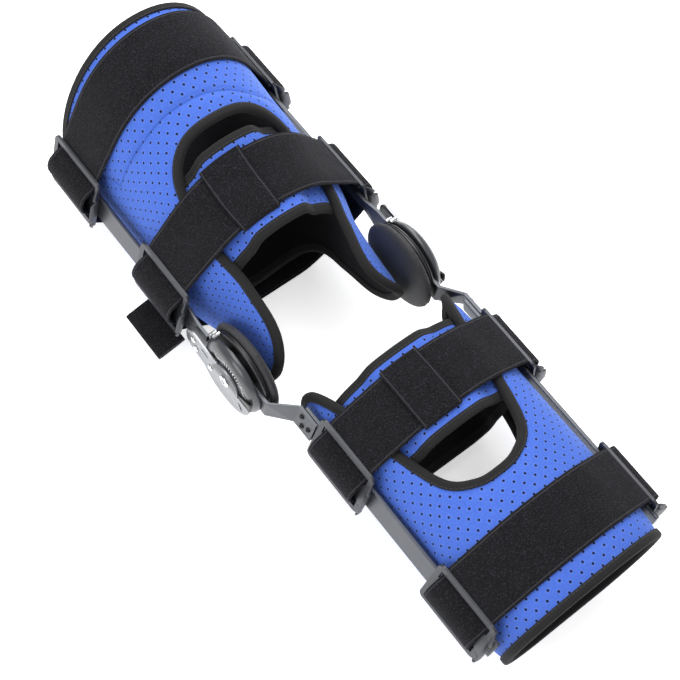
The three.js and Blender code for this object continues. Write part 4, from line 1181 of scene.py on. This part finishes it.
# Grooves 1.5 mm apart are turned into the hub between 6.5 and 15.5 mm from the pivot. They are
# drawn on the hub's front half only, and there the plate is also painted darker as painted shade.
wave = add(tree, "Math", {0: radius, 1: 2 * math.pi / 0.0015}, operation="MULTIPLY")
groove = add(tree, "Math", {0: wave}, operation="SINE")
inside = add(tree, "MapRange", {0: radius, 1: 0.0155, 2: 0.0158, 3: 1.0, 4: 0.0})
beyond = add(tree, "MapRange", {0: radius, 1: 0.0062, 2: 0.0066, 3: 0.0, 4: 1.0})
hub = add(tree, "Math", {0: inside, 1: beyond}, operation="MULTIPLY")
to_front = add(tree, "SeparateXYZ", {0: lay}, out="Y")
front = add(tree, "MapRange", {0: to_front, 1: -0.004, 2: 0.003, 3: 0.0, 4: 1.0})
grooved_and_shaded_front = add(tree, "Math", {0: hub, 1: front}, operation="MULTIPLY")
cut = add(tree, "Math", {0: groove, 1: grooved_and_shaded_front}, operation="MULTIPLY")
place = add(tree, "TexCoord", out="Object")
stretch = add(tree, "VectorMath", {0: place, 1: (1.0, 0.05, 1.0)}, operation="MULTIPLY")
grain = add(tree, "TexNoise", {"Vector": stretch, "Scale": 1500.0, "Detail": 2.0})
plain = add(tree, "Mix", {0: grain, 6: "#85878b", 7: "#a4a6a9"}, **COLOURS)
# The hub's front half is painted darker: painted shade.
shaded = add(tree, "Math", {0: grooved_and_shaded_front, 1: 0.75}, operation="MULTIPLY")
hubbed = add(tree, "Mix", {0: shaded, 6: plain, 7: "#4c4d50"}, **COLOURS)
give(tree, shader.inputs["Base Color"], hubbed)
scored = add(tree, "Bump", {"Height": cut, "Strength": 0.7, "Distance": 0.0004})
brushed = add(tree, "Bump", {"Height": grain, "Strength": 0.1, "Distance": 0.0002, "Normal": scored})
give(tree, shader.inputs["Normal"], brushed)

for side, sign in SIDES.items():
    outlines = [COVER_OUTLINE] + [slot_points(*slot) for slot in COVER_SLOTS]
    cover = plate_mesh(f"cover_plate_{side}", outlines, sign, COVER_INNER, 2, 0.25)
    fitted(cover, "thigh", "pale_satin_aluminium", [pale_aluminium], f"hinge_cover_{side}")
    wedge_outline = arc_points((0, 0), HUB_RADIUS + 1, 176, 170, 3)
    wedge_outline += arc_points((0, 0), HINGE_RADIUS - 1, 163, 180, 8)
    wedge = plate_mesh(f"pointer_wedge_{side}", [wedge_outline], sign, COVER_INNER, 1.6, 0.2)
    fitted(wedge, "thigh", "black_plastic", [black_nylon], f"hinge_pointer_{side}")

# Pivot, cover rivets and range stops: turned steel, plated bright. The pivot's head has a
# drive socket, the rivets are plain domes and the two stops are slotted pins in the disc's rim.
bright_plate, tree, shader, haze = mottled(
    "bright_nickel_chrome_plate", 300.0, 2.0, "#c9cacc", "#e4e5e6", Metallic=1.0, Roughness=0.14
)
rough = add(tree, "MapRange", {0: haze, 3: 0.1, 4: 0.24})
give(tree, shader.inputs["Roughness"], rough)

HEAD_SEAT = 96.6
PIVOT_PROFILE = [
    (0.0, 0.0), (5.5, 0.0), (5.5, 0.5), (5.1, 0.95), (4.0, 1.3), (2.4, 1.4), (2.1, 1.3),
    (2.0, 0.3), (0.0, 0.25),
]
RIVET_PROFILE = [
    (0.0, 0.0), (3.0, 0.0), (2.95, 0.45), (2.4, 1.0), (1.4, 1.32), (0.0, 1.4),
]
STOP_SEAT = 82.7
STOP_PROFILE = [
    (0.0, 0.0), (2.0, 0.0), (2.0, 4.4), (1.7, 4.7), (1.7, 5.0), (2.0, 5.2), (1.8, 5.9),
    (0.8, 6.0), (0.6, 5.2), (0.0, 5.2),
]
RIVET_PLACES = {"end_front": (40.0, 5.25), "end_back": (37.0, -5.25), "inner": (18.0, -7.5)}
STOP_TURNS = {"upper": 32, "lower": 44}
STOP_RADIUS = HINGE_RADIUS + 2.3

for side, sign in SIDES.items():
    pivot = lathe(f"pivot_head_{side}", PIVOT_PROFILE, HEAD_SEAT, sign, segments=48)
    fitted(pivot, "thigh", "chrome", [bright_plate], f"hinge_pivot_{side}")
    for name, (y, z) in RIVET_PLACES.items():
        rivet = lathe(f"rivet_head_{name}_{side}", RIVET_PROFILE, HEAD_SEAT, sign, y, z, segments=28)
        fitted(rivet, "thigh", "chrome", [bright_plate], f"cover_rivet_{name}_{side}")
    for name, turn in STOP_TURNS.items():
        y = STOP_RADIUS * math.cos(math.radians(turn))
        z = STOP_RADIUS * math.sin(math.radians(turn))
        pin = lathe(f"stop_pin_{name}_{side}", STOP_PROFILE, STOP_SEAT, sign, y, z, segments=24)
        fitted(pin, "thigh", "chrome", [bright_plate], f"rom_stop_{name}_{side}")

# Arm screws: three low socket heads in black oxide steel that clamp each hinge arm to its calf
# bar.
SCREW_SEAT = 5.1
CALF_BAR_TOP = -74
SCREW_PROFILE = [
    (0.0, 0.0), (2.2, 0.0), (2.2, 0.55), (1.9, 0.85), (1.2, 0.9), (1.1, 0.2), (0.0, 0.15),
]
SCREW_PLACES = {"front": (14.5, 5.0), "back": (11.5, -4.5), "end": (5.0, -1.0)}

black_oxide = mottled(
    "black_oxide_steel", 500.0, 2.0, "#1d1d1f", "#3b3b3e", Metallic=0.8, Roughness=0.4
)[0]

for side, sign in SIDES.items():
    for name, (from_end, across) in SCREW_PLACES.items():
        centre = CALF_BAR_TOP + from_end

        def on_calf_bar(u, v, out, centre=centre, across=across, sign=sign):
            return on_bar(CALF, sign, centre + u, across + v, out)

        head = f"arm_screw_head_{name}_{side}"
        screw = lathe(head, SCREW_PROFILE, SCREW_SEAT, sign, segments=24, frame_at=on_calf_bar)
        fitted(screw, "calf", "black_plastic", [black_oxide], f"arm_screw_{name}_{side}")

bpy.context.view_layer.update()
